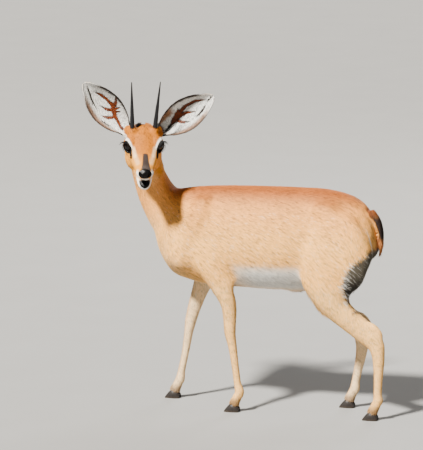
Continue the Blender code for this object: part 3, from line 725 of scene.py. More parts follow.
def neck_colours(points, normals, colours):
    """A throat that is a little paler than the nape."""
    z = points[:, 2] - BODY_AT[2]
    throat_way = unit(LEVEL * 0.75 + np.array((-0.45, 0.0, -0.1)))
    throat = step_up(0.35, 0.95, normals @ throat_way)
    return over(colours, CREAM, throat * step_up(0.50, 0.60, z) * 0.12)


print("body colours ready")

# %% [markdown]
# Each eye looks out sideways and forward, and its lids slant down towards the nose. The
# marks could be painted round the modelled lids. In axes of the eye's own, though, the
# opening is a plain oval, so the black lid rim and the white ring above it are ovals too,
# and the lashes can follow the same oval later. A black tear streak stands in front, over
# the scent gland.

# %% The marks round the eyes
LID_SLANT = math.radians(26.0)
EYE_FORWARD = math.radians(57.0)
EYE_UP = math.radians(10.0)


def eye_axes(side):
    """Down the slant of the lids, up across them, and out, in the head's frame."""
    level = math.cos(EYE_UP)
    across = SIDES[side] * math.cos(EYE_FORWARD)
    out = np.array((math.sin(EYE_FORWARD) * level, across * level, math.sin(EYE_UP)))
    slant = np.array((math.cos(LID_SLANT), 0.0, -math.sin(LID_SLANT)))
    slant = unit(slant - out * (slant @ out))
    rise = np.cross(out, slant)
    return slant, rise * np.sign(rise[2]), out


def eye_place(head_points, side):
    """Along the lids towards the nose, up across them, and out, from the eyeball's centre."""
    centre = np.array((EYES_AHEAD, (EYE_CENTRES[side] - HEAD_AT) @ ACROSS, EYES_ABOVE))
    slant, rise, out = eye_axes(side)
    offset = head_points - centre
    return offset @ slant, offset @ rise, offset @ out


LID_HALF_LENGTH = 0.0132
LID_HALF_HEIGHT = 0.0098
RIM_WIDTH = 0.0021
RING_WIDTH = 0.0028
# the tear streak of the left eye, in the head's frame
TEAR_TOP = (0.0865, 0.0315, 0.0145)
TEAR_FOOT = (0.1000, 0.0308, 0.0045)


def lid_reach(head_points, side, margin=0.0):
    """1 at the margin round the lids' opening, and the place along, across and out."""
    along, rise, out = eye_place(head_points, side)
    reach = np.hypot(along / (LID_HALF_LENGTH + margin), rise / (LID_HALF_HEIGHT + margin))
    return reach, along, rise, out


def both_sides(head_points):
    """The left and the right of the head laid over each other."""
    return head_points * (1, 0, 1) + np.outer(np.abs(head_points[:, 1]), (0, 1, 0))


def lid_masks(head_points):
    """Bare black lid rim, black tear streak and white ring."""
    rim, ring = np.zeros((2, len(head_points)))
    for side in SIDES:
        reach, along, rise, out = lid_reach(head_points, side, RIM_WIDTH)
        mine = step_up(-0.006, 0.000, out)
        rim = np.maximum(rim, step_up(1.06, 0.97, reach) * mine)
        upper = step_up(-0.001, 0.004, rise - 0.10 * along)
        reach = lid_reach(head_points, side, RIM_WIDTH + RING_WIDTH)[0]
        ring = np.maximum(ring, step_up(1.08, 0.94, reach) * mine * upper)
    tear = near_line(both_sides(head_points), TEAR_TOP, TEAR_FOOT, 0.0030, 0.0022)
    return rim, tear, ring


print("the left eye looks along", eye_axes("left")[2].round(2), "in the head's frame")

# %% [markdown]
# The face carries the marks that name the animal: an orange crown, a dark wedge up the
# bridge of the nose, white lips and chin, and black where the lips meet. Each is placed
# in the head's frame, in metres. The pale lines are written once and folded over to both
# sides. The wedge and the dark spots aren't even on both sides in the photo, so they have
# places of their own.

# %% The face's colours
ORANGE = np.array((0.400, 0.118, 0.002))
CHEEK = np.array((0.660, 0.270, 0.025))
NOSE_BROWN = np.array((0.028, 0.019, 0.016))
BRIDGE_GREY = np.array((0.045, 0.033, 0.028))
# half widths of the wedge on the nose, and of the dark mouth and lower lip below it
WEDGE_MIDDLE = 0.0026
WEDGE_AT = (0.1010, 0.1035, 0.1080, 0.1270, 0.1460)
WEDGE_WIDTHS = (0.0030, 0.0052, 0.0060, 0.0076, 0.0105)
SHIELD_HEIGHTS = (-0.0480, -0.0470, -0.0440, -0.0400, -0.0300)
SHIELD_WIDTHS = (-0.0020, 0.0040, 0.0098, 0.0130, 0.0148)
# the pale line in front of each eye, from its top past a bend to its foot
PALE_LINE_TOP = (0.086, 0.0255, 0.0200)
PALE_LINE_BEND = (0.104, 0.0225, 0.0125)
PALE_LINE_FOOT = (0.126, 0.0160, 0.0080)
# the pale patch from the outer corner of each eye to the ear
TEMPLE_FRONT = (0.044, 0.044, 0.006)
TEMPLE_BACK = (0.022, 0.046, 0.004)
PALE_EAR_ROOT = (0.029, -0.0455, 0.0125)
# dark hair behind the horns and beside the ears: place in the head's frame and radius
DARK_SPOTS = (
    ((0.021, -0.0120, 0.0375), 0.0085),
    ((0.026, -0.0260, 0.0370), 0.0090),
    ((0.020, 0.0300, 0.0350), 0.0120),
    ((0.012, 0.0400, 0.0240), 0.0140),
    ((0.021, 0.0475, 0.0125), 0.0105),
    ((0.008, -0.0350, 0.0280), 0.0100),
)


def face_colours(points):
    """Colours of the head and how bare and wet it is."""
    place = in_head(points)
    ahead, left, up = place.T
    side = np.abs(left)
    folded = both_sides(place)
    colours = np.tile(ORANGE, (len(points), 1))
    colours = over(colours, CHEEK, step_up(0.022, 0.000, up))
    under = step_up(-0.030, -0.050, up) * step_up(0.050, 0.075, ahead)
    colours = over(colours, CREAM, under * 0.55)
    # pale marks and rings round the eyes
    before = near_line(folded, PALE_LINE_TOP, PALE_LINE_BEND, 0.0016, 0.0060)
    colours = over(colours, CREAM, before * 0.60)
    beyond = near_line(folded, PALE_LINE_BEND, PALE_LINE_FOOT, 0.0020, 0.0070)
    colours = over(colours, CREAM, beyond * 0.35)
    temple = near_line(folded, TEMPLE_FRONT, TEMPLE_BACK, 0.004, 0.007)
    colours = over(colours, CREAM, temple * 0.8)
    rim, tear, ring = lid_masks(place)
    colours = over(colours, WHITE, ring)
    # a white band round the nose pad, and white lips and chin
    band = step_up(0.139, 0.147, ahead) * step_up(0.0118, 0.0138, side) * step_up(0.006, -0.002, up)
    colours = over(colours, WHITE, band)
    lips = step_up(0.132, 0.142, ahead) * step_up(-0.010, -0.015, up)
    colours = over(colours, WHITE, lips)
    chin = step_up(0.112, 0.126, ahead) * step_up(-0.034, -0.041, up)
    colours = over(colours, WHITE, chin)
    # the dark wedge up the bridge of the nose
    width = np.interp(ahead, WEDGE_AT, WEDGE_WIDTHS)
    bridge = step_up(width + 0.0010, width - 0.0008, np.abs(left - WEDGE_MIDDLE))
    bridge *= step_up(0.1015, 0.1045, ahead) * step_up(-0.006, 0.000, up)
    dark = NOSE_BROWN + (BRIDGE_GREY - NOSE_BROWN) * step_up(0.128, 0.146, ahead)[:, None]
    colours = over(colours, dark, bridge)
    colours = over(colours, BLACK, tear)
    # black lips where they meet, and the dark inside of the mouth
    gap_at = -0.0265 - 0.055 * (ahead - 0.104)
    line = step_up(0.0030, 0.0018, np.abs(up - gap_at)) * step_up(0.103, 0.108, ahead)
    half = np.interp(up, SHIELD_HEIGHTS, SHIELD_WIDTHS)
    front = step_up(half + 0.0008, half - 0.0008, side) * step_up(0.128, 0.136, ahead)
    shield = front * step_up(-0.0185, -0.0200, up)
    bare = np.maximum(rim, np.maximum(line, shield))
    # dark tufts behind the horns' feet and at the ears' roots, and a pale right root
    tuft = np.zeros(len(points))
    for spot, radius in DARK_SPOTS:
        gap = np.linalg.norm(place - spot, axis=1)
        tuft = np.maximum(tuft, step_up(radius, radius * 0.72, gap))
    colours = over(colours, BLACK * 1.6, tuft * step_up(0.048, 0.040, ahead))
    pale_root = np.linalg.norm(place - PALE_EAR_ROOT, axis=1)
    colours = over(colours, WHITE, step_up(0.0120, 0.0080, pale_root))
    colours = over(colours, BLACK, bare)
    return colours, bare


print("face colours ready")

# %% [markdown]
# Body and face are blended where the head meets the neck, and the skin is painted with
# the result. Each tuft will ask the same function for the colour at its root.

# %% The whole pattern


def coat_colours(points, normals):
    """The whole pattern: colour, and how bare the place is."""
    body = neck_colours(points, normals, body_colours(points, normals))
    face, bare = face_colours(points)
    on_head = head_share(points)
    return body + (face - body) * on_head[:, None], bare * on_head


colours, bare = coat_colours(points_of(skin.data), normals_of(skin.data))
paint(skin.data, "coat_colour", colours)
number(skin.data, "bare", bare)
print("bare share of the skin:", round(float(bare.mean()), 4))

# %% [markdown]
# Hair has a lie. From the nose it runs back over the head, down the neck, back along the
# trunk, and down the chest, rump and legs. It could be combed with a brush, patch by
# patch. A blend of these few directions, laid flat on the skin, is smooth everywhere and
# can be asked for at any place.

# %% The lie of the coat
NECK_DOWN = unit(np.array((0.094, 0.045, -0.210)))


def coat_lie(points, normals):
    x, _, z = (points - BODY_AT).T
    count = len(points)
    lie = np.tile((1.0, 0.0, -0.30), (count, 1))
    lie[:, 2] -= 0.5 * step_up(0.50, 0.34, z)
    rump = step_up(0.17, 0.25, x)[:, None]
    lie += rump * ((0.25, 0.0, -1.2) - lie)
    chest = (step_up(-0.18, -0.25, x) * step_up(0.50, 0.44, z))[:, None]
    lie += chest * ((0.25, 0.0, -1.0) - lie)
    leg = step_up(0.36, 0.27, z)[:, None] * (1 - step_up(-0.35, -0.75, normals[:, 2]))[:, None]
    lie += leg * ((0.18, 0.0, -1.0) - lie)
    neck = (step_up(-0.17, -0.23, x) * step_up(0.46, 0.52, z))[:, None]
    lie += neck * (NECK_DOWN - lie)
    head = head_share(points)[:, None]
    place = in_head(points)
    back = -FORWARD + np.outer(0.35 * step_up(0.01, -0.03, place[:, 2]), -CROWN)
    lie += head * (back - lie)
    return laid_flat(lie, normals)


lie = coat_lie(points_of(skin.data), normals_of(skin.data))
print("mean way of the hair:", lie.mean(axis=0).round(2))

# %% [markdown]
# Each piece gets a map named OFBake, on which its colours can be laid out. An automatic unwrap
# would give the skin many small islands. Here it is unwrapped the way one cuts a box open: each
# part of the body is seen square from six sides, and the views are laid out as tiles. That way the
# place of a tuft on the map can be worked out too: a tuft takes a small patch at its root's place,
# so neighbours share their colours.

# %% The map of the skin
CENTRES = {node: middle(node) for node in FLESH}
HALVES = {node: np.array((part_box(node)[1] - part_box(node)[0]) / 2) for node in FLESH}
TILES_ACROSS = 9
TILE_FILL = 0.94


def nearest_parts(points):
    """For each point the number of the flesh solid that it is nearest to."""
    sample = [np.array([v.co for v in CAD[node].data.vertices][::3]) for node in FLESH]
    owner = np.concatenate([np.full(len(s), k) for k, s in enumerate(sample)])
    tree = KDTree(len(owner))
    for index, place in enumerate(np.concatenate(sample)):
        tree.insert(place, index)
    tree.balance()
    return np.array([owner[tree.find(p)[1]] for p in points.tolist()])


def tile_places(parts, views, points):
    """The place on the map of points that are seen in a given view of a given part."""
    centres = np.array([CENTRES[node] for node in FLESH])[parts]
    halves = np.array([HALVES[node].max() + 0.004 for node in FLESH])[parts]
    local = (points - centres) / halves[:, None]
    axis = views % 3
    rows = np.arange(len(points))
    first = local[rows, (axis + 1) % 3]
    second = local[rows, (axis + 2) % 3]
    tile = parts * 6 + views
    column, row = tile % TILES_ACROSS, tile // TILES_ACROSS
    u = (column + 0.5 + 0.5 * TILE_FILL * np.clip(first, -1, 1)) / TILES_ACROSS
    v = (row + 0.5 + 0.5 * TILE_FILL * np.clip(second, -1, 1)) / TILES_ACROSS
    return np.stack((u, v), axis=1)


def view_of(normals):
    """0 to 2 for the sides that face along +X, +Y, +Z, and 3 to 5 for the other three."""
    axis = np.argmax(np.abs(normals), axis=1)
    back = normals[np.arange(len(normals)), axis] < 0
    return axis + 3 * back


def write_map(mesh, places):
    layer = mesh.uv_layers.new(name="OFBake")
    layer.uv.foreach_set("vector", places.astype(np.float32).ravel())


def triangulate(piece):
    return modify(piece, "TRIANGULATE")


triangulate(skin)
SKIN_POINTS = points_of(skin.data)
SKIN_NORMALS = normals_of(skin.data)
SKIN_FACES = triangles_of(skin.data)
corners = SKIN_POINTS[SKIN_FACES]
face_cross = np.cross(corners[:, 1] - corners[:, 0], corners[:, 2] - corners[:, 0])
FACE_AREAS = np.linalg.norm(face_cross, axis=1) / 2
POINT_PARTS = nearest_parts(SKIN_POINTS)
FACE_PARTS = POINT_PARTS[SKIN_FACES[:, 0]]
FACE_VIEWS = view_of(face_cross)
write_map(
    skin.data,
    tile_places(
        np.repeat(FACE_PARTS, 3), np.repeat(FACE_VIEWS, 3), corners.reshape(-1, 3)
    ),
)
print("skin area:", round(float(FACE_AREAS.sum()), 4), "square metres")

# %% [markdown]
# Blender's own hair is made of curves, and curves don't come out as solids. So a tuft
# stands for a few hairs that cling together: a thin pointed wedge, sunk at its root and
# leaning along the lie. Each is a closed little solid of four faces, or of ten where it
# is long enough to bend. Thousands are made at once from arrays: roots drawn evenly over
# the skin, then lie, length, width and colour for each. The draws start from a fixed
# seed, so that each run gives the same coat.

# %% Roots and shapes of tufts
RANDOM = np.random.default_rng(7)
ROOT_SINK = 0.0003


def draw_roots(density):
    """Roots on the skin, by the wanted number of tufts a square metre at each point."""
    wanted = density[SKIN_FACES].mean(axis=1) * FACE_AREAS
    counts = np.floor(wanted + RANDOM.random(len(wanted))).astype(int)
    faces = np.repeat(np.arange(len(wanted)), counts)
    first, second = RANDOM.random((2, len(faces)))
    flip = first + second > 1
    first[flip], second[flip] = 1 - first[flip], 1 - second[flip]
    shares = np.stack((1 - first - second, first, second), axis=1)[:, :, None]
    points = (SKIN_POINTS[SKIN_FACES[faces]] * shares).sum(axis=1)
    normals = unit((SKIN_NORMALS[SKIN_FACES[faces]] * shares).sum(axis=1))
    return faces, points, normals


def tuft_points(roots, normals, lie, length, width, lift, bend):
    """Points of short wedges of four faces, or of bent ones of ten."""
    across = unit(np.cross(normals, lie))
    rise = unit(lie * np.cos(lift)[:, None] + normals * np.sin(lift)[:, None])
    half = (width / 2)[:, None]
    foot = roots - normals * ROOT_SINK
    base = [foot - across * half, foot + across * half, foot + (normals * 0.5 - lie) * half]
    if bend is None:
        tip = foot + rise * length[:, None]
        return np.stack((*base, tip), axis=1)
    low = lift * (1 - bend)
    second = unit(lie * np.cos(low)[:, None] + normals * np.sin(low)[:, None])
    mid = foot + rise * length[:, None] * 0.5
    tip = mid + second * length[:, None] * 0.5
    half = half * 0.8
    ring = [mid - across * half, mid + across * half, mid + normals * half * 0.7]
    return np.stack((*base, *ring, tip), axis=1)


print("tufts' shapes ready")

# %% [markdown]
# With normals of their own the faces of a tuft would catch the light one by one and
# glitter. So each tuft gets the skin's normals, opened a little to both sides, and it is
# darker at the root and paler at the tip.

# %% Meshes of tufts
SIDE_SHADE = 0.45
ROOT_SHADE = 0.80
TIP_SHADE = 1.12
TUFT_PATCH = 0.003
SHORT_FACES = np.array(((0, 2, 1), (0, 1, 3), (1, 2, 3), (2, 0, 3)))
LONG_FACES = np.array(
    (
        (0, 2, 1),
        (0, 1, 4),
        (0, 4, 3),
        (1, 2, 5),
        (1, 5, 4),
        (2, 0, 3),
        (2, 3, 5),
        (3, 4, 6),
        (4, 5, 6),
        (5, 3, 6),
    )
)


def tuft_normals(shape, normals):
    """The skin's own normals, opened a little to both sides of each tuft."""
    across = unit(shape[:, 1] - shape[:, 0]) * SIDE_SHADE
    rows = [unit(normals - across), unit(normals + across), normals]
    return np.stack((rows * 2 + [normals])[-shape.shape[1] :], axis=1)


def make_tufts(name, shape, normals, colours, places):
    """One mesh of all the tufts: their points, a colour and a place on the map for each."""
    count, points_each = shape.shape[:2]
    pattern = SHORT_FACES if points_each == 4 else LONG_FACES
    faces = (pattern[None] + points_each * np.arange(count)[:, None, None]).reshape(-1, 3)
    mesh = mesh_from(name, shape.reshape(-1, 3), faces)
    mesh.shade_smooth()
    facing = tuft_normals(shape, normals).reshape(-1, 3)
    mesh.normals_split_custom_set_from_vertices(facing.tolist())
    shade = np.ones(points_each)
    shade[:3] = ROOT_SHADE
    shade[-1] = TIP_SHADE
    tinted = colours[:, None, :] * shade[None, :, None]
    paint(mesh, "coat_colour", tinted.reshape(-1, 3))
    spread = np.zeros((points_each, 2))
    spread[:3] = ((-0.5, 0.0), (0.5, 0.0), (0.0, 0.3))
    spread[-1] = (0.0, 1.0)
    if points_each == 7:
        spread[3:6] = ((-0.4, 0.5), (0.4, 0.5), (0.0, 0.6))
    map_places = (places[:, None] + spread[None] * TUFT_PATCH).reshape(-1, 2)
    write_map(mesh, map_places[faces.ravel()])
    tufts = link(name, mesh)
    mesh.materials.append(COAT_HAIR)
    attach(tufts, "root")
    return tufts


print("tuft builders ready")

# %% [markdown]
# Fur is dull, and uneven from lock to lock and from hair to hair. A picture could carry
# that, but noise in the finish stays sharp close up. Skin and tufts have a finish each
# and share the painted pattern, broken up by the same kind of noise. On the skin a fine
# bump stands for the hairs between the tufts. Bare places, such as lid rims and lips, are
# smoother and wetter.

# %% The finishes of coat and skin


def pattern_tone(finish, base, locks_add, hairs_add, hairs):
    """The painted pattern, brighter and darker from lock to lock and from hair to hair."""
    locks = finish.noise(90.0, 3.0)
    level = base + locks * locks_add + hairs * hairs_add
    feeds = {"Color": finish.attribute("coat_colour"), "Value": level}
    return finish.node("HueSaturation", None, feeds)


def make_coat_finish():
    finish = Finish("coat_hair", Roughness=0.62, Specular_IOR_Level=0.22)
    hairs = finish.noise(900.0, 2.0)
    return finish.set(Base_Color=pattern_tone(finish, 0.86, 0.10, 0.18, hairs))


def make_skin_finish():
    finish = Finish("coat_skin", Specular_IOR_Level=0.15)
    hairs = finish.noise(1100.0, 3.0)
    wet = finish.attribute("bare", out=2)
    return finish.set(
        Base_Color=pattern_tone(finish, 0.82, 0.06, 0.16, hairs),
        Roughness=0.72 - wet * 0.40,
        Normal=finish.bump(hairs, 0.6, 0.0006),
    )


COAT_HAIR = make_coat_finish()
SKIN_FINISH = make_skin_finish()
skin.data.materials.clear()
skin.data.materials.append(SKIN_FINISH)
only(skin)
bpy.ops.object.shade_smooth()
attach(skin, "root")
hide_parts(*FLESH)
print("coat finishes ready")

# %% [markdown]
# The short coat covers all the flesh. Tufts are longest on the trunk and the neck,
# shorter on the legs and the crown, and shortest on the muzzle, and where they are small
# there are more of them. None grow in an eye socket, in the mouth, on the nose pad or on
# the hooves.

# %% Where the short coat grows
TRUNK_HAIR = 0.0090
LEG_HAIR = 0.0055
FACE_HAIR = 0.0038
CROWN_HAIR = 0.0055
MUZZLE_HAIR = 0.0028
NAPE_HAIR = 0.0080


def hair_length(points):
    low_leg = step_up(0.30, 0.17, points[:, 2] - BODY_AT[2])
    length = TRUNK_HAIR + (LEG_HAIR - TRUNK_HAIR) * low_leg
    ahead, _, up = in_head(points).T
    forehead = step_up(0.010, 0.030, up) * step_up(0.085, 0.055, ahead)
    face = FACE_HAIR + (CROWN_HAIR - FACE_HAIR) * forehead
    face = face + (MUZZLE_HAIR - face) * step_up(0.09, 0.13, ahead)
    face = face + (NAPE_HAIR - face) * step_up(0.045, 0.010, ahead)
    return length + (face - length) * head_share(points)


def hairless(points, normals, bare):
    """1 where no tuft may grow."""
    place = in_head(points)
    none = step_up(0.35, 0.7, bare)
    for side, centre in EYE_CENTRES.items():
        reach, _, _, out = lid_reach(place, side)
        away = np.linalg.norm(points - centre, axis=1)
        socket = away < EYE_RADIUS + 0.0009
        none = np.maximum(none, (socket | ((reach < 1.12) & (out > 0.0))) * 1.0)
    none = np.maximum(none, np.linalg.norm(points - NOSE_CENTRE, axis=1) < 0.0085)
    inside_mouth = (np.abs(place[:, 2] + 0.0285) < 0.007) & (place[:, 0] > 0.104)
    inside_mouth &= np.abs(normals @ CROWN) > 0.6
    none = np.maximum(none, inside_mouth)
    return np.maximum(none, points[:, 2] < HOOF_TOP * 0.7)


hair_in_mm = hair_length(SKIN_POINTS) * 1000
print("hair from", hair_in_mm.min().round(1), "to", hair_in_mm.max().round(1), "mm long")

# %% [markdown]
# Roots are drawn, then a lie, a length, a width, a lift and a colour for each tuft. Hairs
# cling in locks that share a tone, fine dark specks break up the orange of the crown, and
# a few hairs of the pale parts are nearly white. The tufts are too many for one piece, so
# they are shared out by their place along the body.

# %% The short coat
LAYERS = 1.6
HAIR_WIDTH = 0.00038
HAIR_TAPER = 0.070
LOCK_SIZE = (0.0095, 0.0027, 0.0027)
SPECK_SIZE = (0.0026, 0.0026, 0.0026)
LOCK_TONES = RANDOM.normal(0.0, 1.0, 60013)
LOCK_CONTRAST = 0.30
HAIR_CONTRAST = 0.20
SPECK_SHADE = 0.38
PALE_SHARE = 0.05


def lock_tone(roots, size):
    """One number for all the tufts of a lock, so that they share a tone."""
    down_back = roots @ np.array((0.86, 0.0, -0.51))
    up_back = roots @ np.array((0.51, 0.0, 0.86))
    places = np.stack((down_back, roots[:, 1], up_back), axis=1)
    cell = np.floor(places / size).astype(int)
    mixed = (cell * (7919, 104729, 1299709)).sum(axis=1) % len(LOCK_TONES)
    return LOCK_TONES[mixed]


def short_coat():
    _, bare = coat_colours(SKIN_POINTS, SKIN_NORMALS)
    lengths = hair_length(SKIN_POINTS)
    widths = HAIR_WIDTH + lengths * HAIR_TAPER
    density = LAYERS / (lengths * widths / 2)
    density *= 1 - hairless(SKIN_POINTS, SKIN_NORMALS, bare)
    faces, roots, normals = draw_roots(density)
    keep = hairless(roots, normals, np.zeros(len(roots))) < 0.5
    faces, roots, normals = faces[keep], roots[keep], normals[keep]
    count = len(roots)
    lie = coat_lie(roots, normals)
    swirl = RANDOM.normal(0, 0.04, count)[:, None]
    lie = unit(lie + np.cross(normals, lie) * swirl)
    length = hair_length(roots) * RANDOM.uniform(0.75, 1.25, count)
    width = (HAIR_WIDTH + length * HAIR_TAPER) * RANDOM.uniform(0.8, 1.2, count)
    lift = np.radians(RANDOM.uniform(4.0, 9.5, count))
    shape = tuft_points(roots, normals, lie, length, width, lift, None)
    tint, _ = coat_colours(roots, normals)
    tone = np.exp(
        LOCK_CONTRAST * lock_tone(roots, LOCK_SIZE) + RANDOM.normal(0, HAIR_CONTRAST, count)
    )
    specks = (lock_tone(roots, SPECK_SIZE) > 1.0) & (tint[:, 2] < 0.012)
    tone[specks] *= SPECK_SHADE
    tint = tint * tone.clip(0.25, 1.15)[:, None]
    pale = (RANDOM.random(count) < PALE_SHARE) & (tint[:, 2] > 0.08)
    tint[pale] += (WHITE - tint[pale]) * 0.5
    places = tile_places(FACE_PARTS[faces], FACE_VIEWS[faces], roots)
    return shape, normals, tint, places


PIECE_TUFTS = 48000
shape, facing, tint, places = short_coat()
order = np.argsort(shape[:, 0, 0], kind="stable")
pieces = math.ceil(len(order) / PIECE_TUFTS)
for k, chosen in enumerate(np.array_split(order, pieces)):
    make_tufts(f"coat_{k + 1}", shape[chosen], facing[chosen], tint[chosen], places[chosen])
print("short coat:", len(order), "tufts in", pieces, "pieces")

# %% [markdown]
# An ear is a thin leaf of gristle, rolled into a tube at its root and open above. A copy
# of the solid would have the shape, but no rows to place the markings by. So it starts as
# a flat grid: one way runs from root to tip, the other from edge to edge. Each point is
# then carried onto the cup, whose width and roll at a few places along it are those of
# the solid, and a wall is given to it. Two numbers stay with every point, which the
# markings and the hair inside need later.

# %% The ear's shape
EAR_ROOT = (0.0225, 0.0348, 0.0170)
EAR_LENGTH = 0.158
EAR_LEAN = {"left": math.radians(57.5), "right": math.radians(-41.5)}
EAR_WALL = 0.0011
EAR_INSET = 0.0005
EAR_TIP_ROOM = 0.004
EAR_COLUMNS = 36
EAR_ROWS = 48
EAR_SHARES = (0.0, 0.10, 0.20, 0.32, 0.46, 0.60, 0.74, 0.86, 0.95, 1.0)
EAR_HALF_WIDTHS = (
    0.0125, 0.0185, 0.0275, 0.0350, 0.0388, 0.0370, 0.0305, 0.0208, 0.0118, 0.0040
)
EAR_ROLLS = (128, 112, 92, 78, 68, 62, 56, 48, 38, 30)


def curve_at(places, values, where):
    """A smooth curve through a few values, read at many places."""
    places, values = np.array(places, float), np.array(values, float)
    slopes = np.gradient(values, places)
    k = np.clip(np.searchsorted(places, where) - 1, 0, len(places) - 2)
    width = places[k + 1] - places[k]
    t = (where - places[k]) / width
    first = values[k] * (1 + 2 * t) * (1 - t) ** 2 + slopes[k] * width * t * (1 - t) ** 2
    last = values[k + 1] * t * t * (3 - 2 * t) + slopes[k + 1] * width * t * t * (t - 1)
    return first + last


def ear_axes(side):
    """Root, way to the tip, way that the cup opens, and way across it."""
    way = SIDES[side]
    root = from_head(EAR_ROOT[0], EAR_ROOT[1] * way, EAR_ROOT[2])
    lean = EAR_LEAN[side]
    axis = unit(ACROSS * math.sin(lean) + UP * math.cos(lean) - LEVEL * 0.10)
    opening = LEVEL * 0.97 + UP * 0.12 + ACROSS * 0.10 * way
    opening = unit(opening - axis * (opening @ axis))
    return root, axis, opening, np.cross(axis, opening)


def ear_roll(share):
    roll = np.radians(curve_at(EAR_SHARES, EAR_ROLLS, share))
    half = curve_at(EAR_SHARES, EAR_HALF_WIDTHS, share)
    return roll, half / np.sin(np.minimum(roll, math.pi / 2))


def ear_point(side, share, round_it, inset):
    """The place of a point that lies so far along the ear and so far round it."""
    root, axis, opening, across = ear_axes(side)
    roll, radius = ear_roll(share)
    turn = roll * round_it
    step = (radius - inset) * np.sin(turn)
    depth = radius * np.cos(roll) - (radius - inset) * np.cos(turn)
    length = EAR_LENGTH * share * (1 - EAR_TIP_ROOM)
    return root + np.outer(length, axis) + np.outer(step, across) + np.outer(depth, opening)


def ear_grid(side):
    bpy.ops.object.select_all(action="DESELECT")
    bpy.ops.mesh.primitive_grid_add(
        x_subdivisions=EAR_COLUMNS, y_subdivisions=EAR_ROWS, size=2.0
    )
    ear = bpy.context.object
    ear.name = "ear_shell_" + side
    flat = points_of(ear.data)
    share, round_it = (flat[:, 1] + 1) / 2, flat[:, 0]
    set_points(ear.data, ear_point(side, share, round_it, EAR_INSET + EAR_WALL))
    number(ear.data, "share", share)
    number(ear.data, "round_it", round_it)
    count = len(flat)
    modify(ear, "SOLIDIFY", thickness=EAR_WALL, offset=-1.0)
    inside = np.zeros(len(ear.data.vertices))
    inside[count:] = 1.0
    centre_way = ear_axes(side)[2]
    moved = points_of(ear.data)
    if ((moved[count:] - moved[:count]).mean(axis=0) @ centre_way) < 0:
        inside = 1 - inside
    number(ear.data, "inside", inside)
    only(ear)
    bpy.ops.object.mode_set(mode="EDIT")
    bpy.ops.mesh.select_all(action="SELECT")
    bpy.ops.mesh.normals_make_consistent(inside=False)
    bpy.ops.object.mode_set(mode="OBJECT")
    bpy.ops.object.shade_smooth()
    return ear


EARS = {side: ear_grid(side) for side in SIDES}
print("ears:", [len(ear.data.vertices) for ear in EARS.values()], "points")

# %% [markdown]
# Inside, the ear is white with a dark branching mark, like a hand of fingers, where the
# hair is short and rusty or nearly black. It could be painted on a picture. Strokes on
# the ear laid flat are chosen because they are easy to move and the hair can read them
# too: a stem that leaves the root and runs along the inner third, and short fingers on
# both sides, each from a few places along and round the ear.

# %% The branching mark
# each stroke: (share along, place round, half width in metres), the stem first
EAR_STROKES = {
    "right": (
        (
            (0.00, 0.12, 0.0046),
            (0.13, 0.14, 0.0044),
            (0.22, 0.02, 0.0050),
            (0.31, -0.05, 0.0060),
            (0.38, -0.18, 0.0084),
            (0.45, -0.32, 0.0064),
            (0.57, -0.35, 0.0054),
            (0.68, -0.31, 0.0050),
            (0.78, -0.18, 0.0012),
        ),
        ((0.43, -0.30, 0.0058), (0.46, -0.62, 0.0046), (0.52, -0.92, 0.0034)),
        ((0.41, -0.17, 0.0056), (0.45, 0.03, 0.0038), (0.58, 0.20, 0.0010)),
        ((0.31, 0.06, 0.0044), (0.36, 0.30, 0.0042), (0.44, 0.46, 0.0012)),
        ((0.39, -0.30, 0.0040), (0.36, -0.64, 0.0010)),
        ((0.36, -0.22, 0.0040), (0.31, -0.47, 0.0010)),
    ),
    "left": (
        (
            (0.00, 0.30, 0.0018),
            (0.12, 0.27, 0.0024),
            (0.22, 0.09, 0.0038),
            (0.33, -0.03, 0.0062),
            (0.40, -0.10, 0.0082),
            (0.48, -0.27, 0.0070),
            (0.57, -0.37, 0.0058),
            (0.72, -0.40, 0.0050),
            (0.87, -0.14, 0.0010),
        ),
        ((0.43, -0.06, 0.0058), (0.53, 0.01, 0.0042), (0.65, 0.23, 0.0010)),
        ((0.34, 0.06, 0.0052), (0.40, 0.31, 0.0038), (0.49, 0.48, 0.0010)),
        ((0.30, -0.06, 0.0056), (0.40, -0.23, 0.0066), (0.45, -0.46, 0.0016)),
    ),
}
EAR_DARK_HAIRS = {
    "right": (
        ((0.93, -0.10, 0.0010), (0.86, 0.17, 0.0026), (0.70, 0.42, 0.0022), (0.54, 0.48, 0.0008)),
        ((0.38, 0.70, 0.0008), (0.30, 0.66, 0.0022), (0.20, 0.58, 0.0010)),
    ),
    "left": (
        ((0.58, 0.54, 0.0008), (0.66, 0.53, 0.0028), (0.74, 0.50, 0.0032), (0.82, 0.38, 0.0010)),
        ((0.86, 0.26, 0.0008), (0.93, 0.00, 0.0030), (0.99, -0.40, 0.0014)),
    ),
}


def flat_ear(share, round_it):
    """The ear rolled out flat, in metres."""
    roll, radius = ear_roll(share)
    return np.stack((round_it * roll * radius, share * EAR_LENGTH), axis=-1)


def stroke(share, lateral, path, soft=0.0012):
    """A mask along a bent stroke whose width changes from place to place."""
    here = flat_ear(share, lateral)
    mask = np.zeros(len(share))
    for (s0, r0, w0), (s1, r1, w1) in zip(path, path[1:]):
        first, last = flat_ear(np.array((s0, s1)), np.array((r0, r1)))
        along = last - first
        t = np.clip(((here - first) @ along) / (along @ along), 0, 1)
        gap = np.linalg.norm(here - first - t[:, None] * along, axis=1)
        width = w0 + (w1 - w0) * t
        mask = np.maximum(mask, step_up(width + soft * 0.5, width - soft * 0.5, gap))
    return mask


def finger_mask(side, share, lateral, wider=0.0):
    mask = np.zeros(len(share))
    for path in EAR_STROKES[side]:
        grown = [(along, place, width + wider) for along, place, width in path]
        mask = np.maximum(mask, stroke(share, lateral, grown))
    return mask


print("strokes:", {side: len(strokes) for side, strokes in EAR_STROKES.items()})
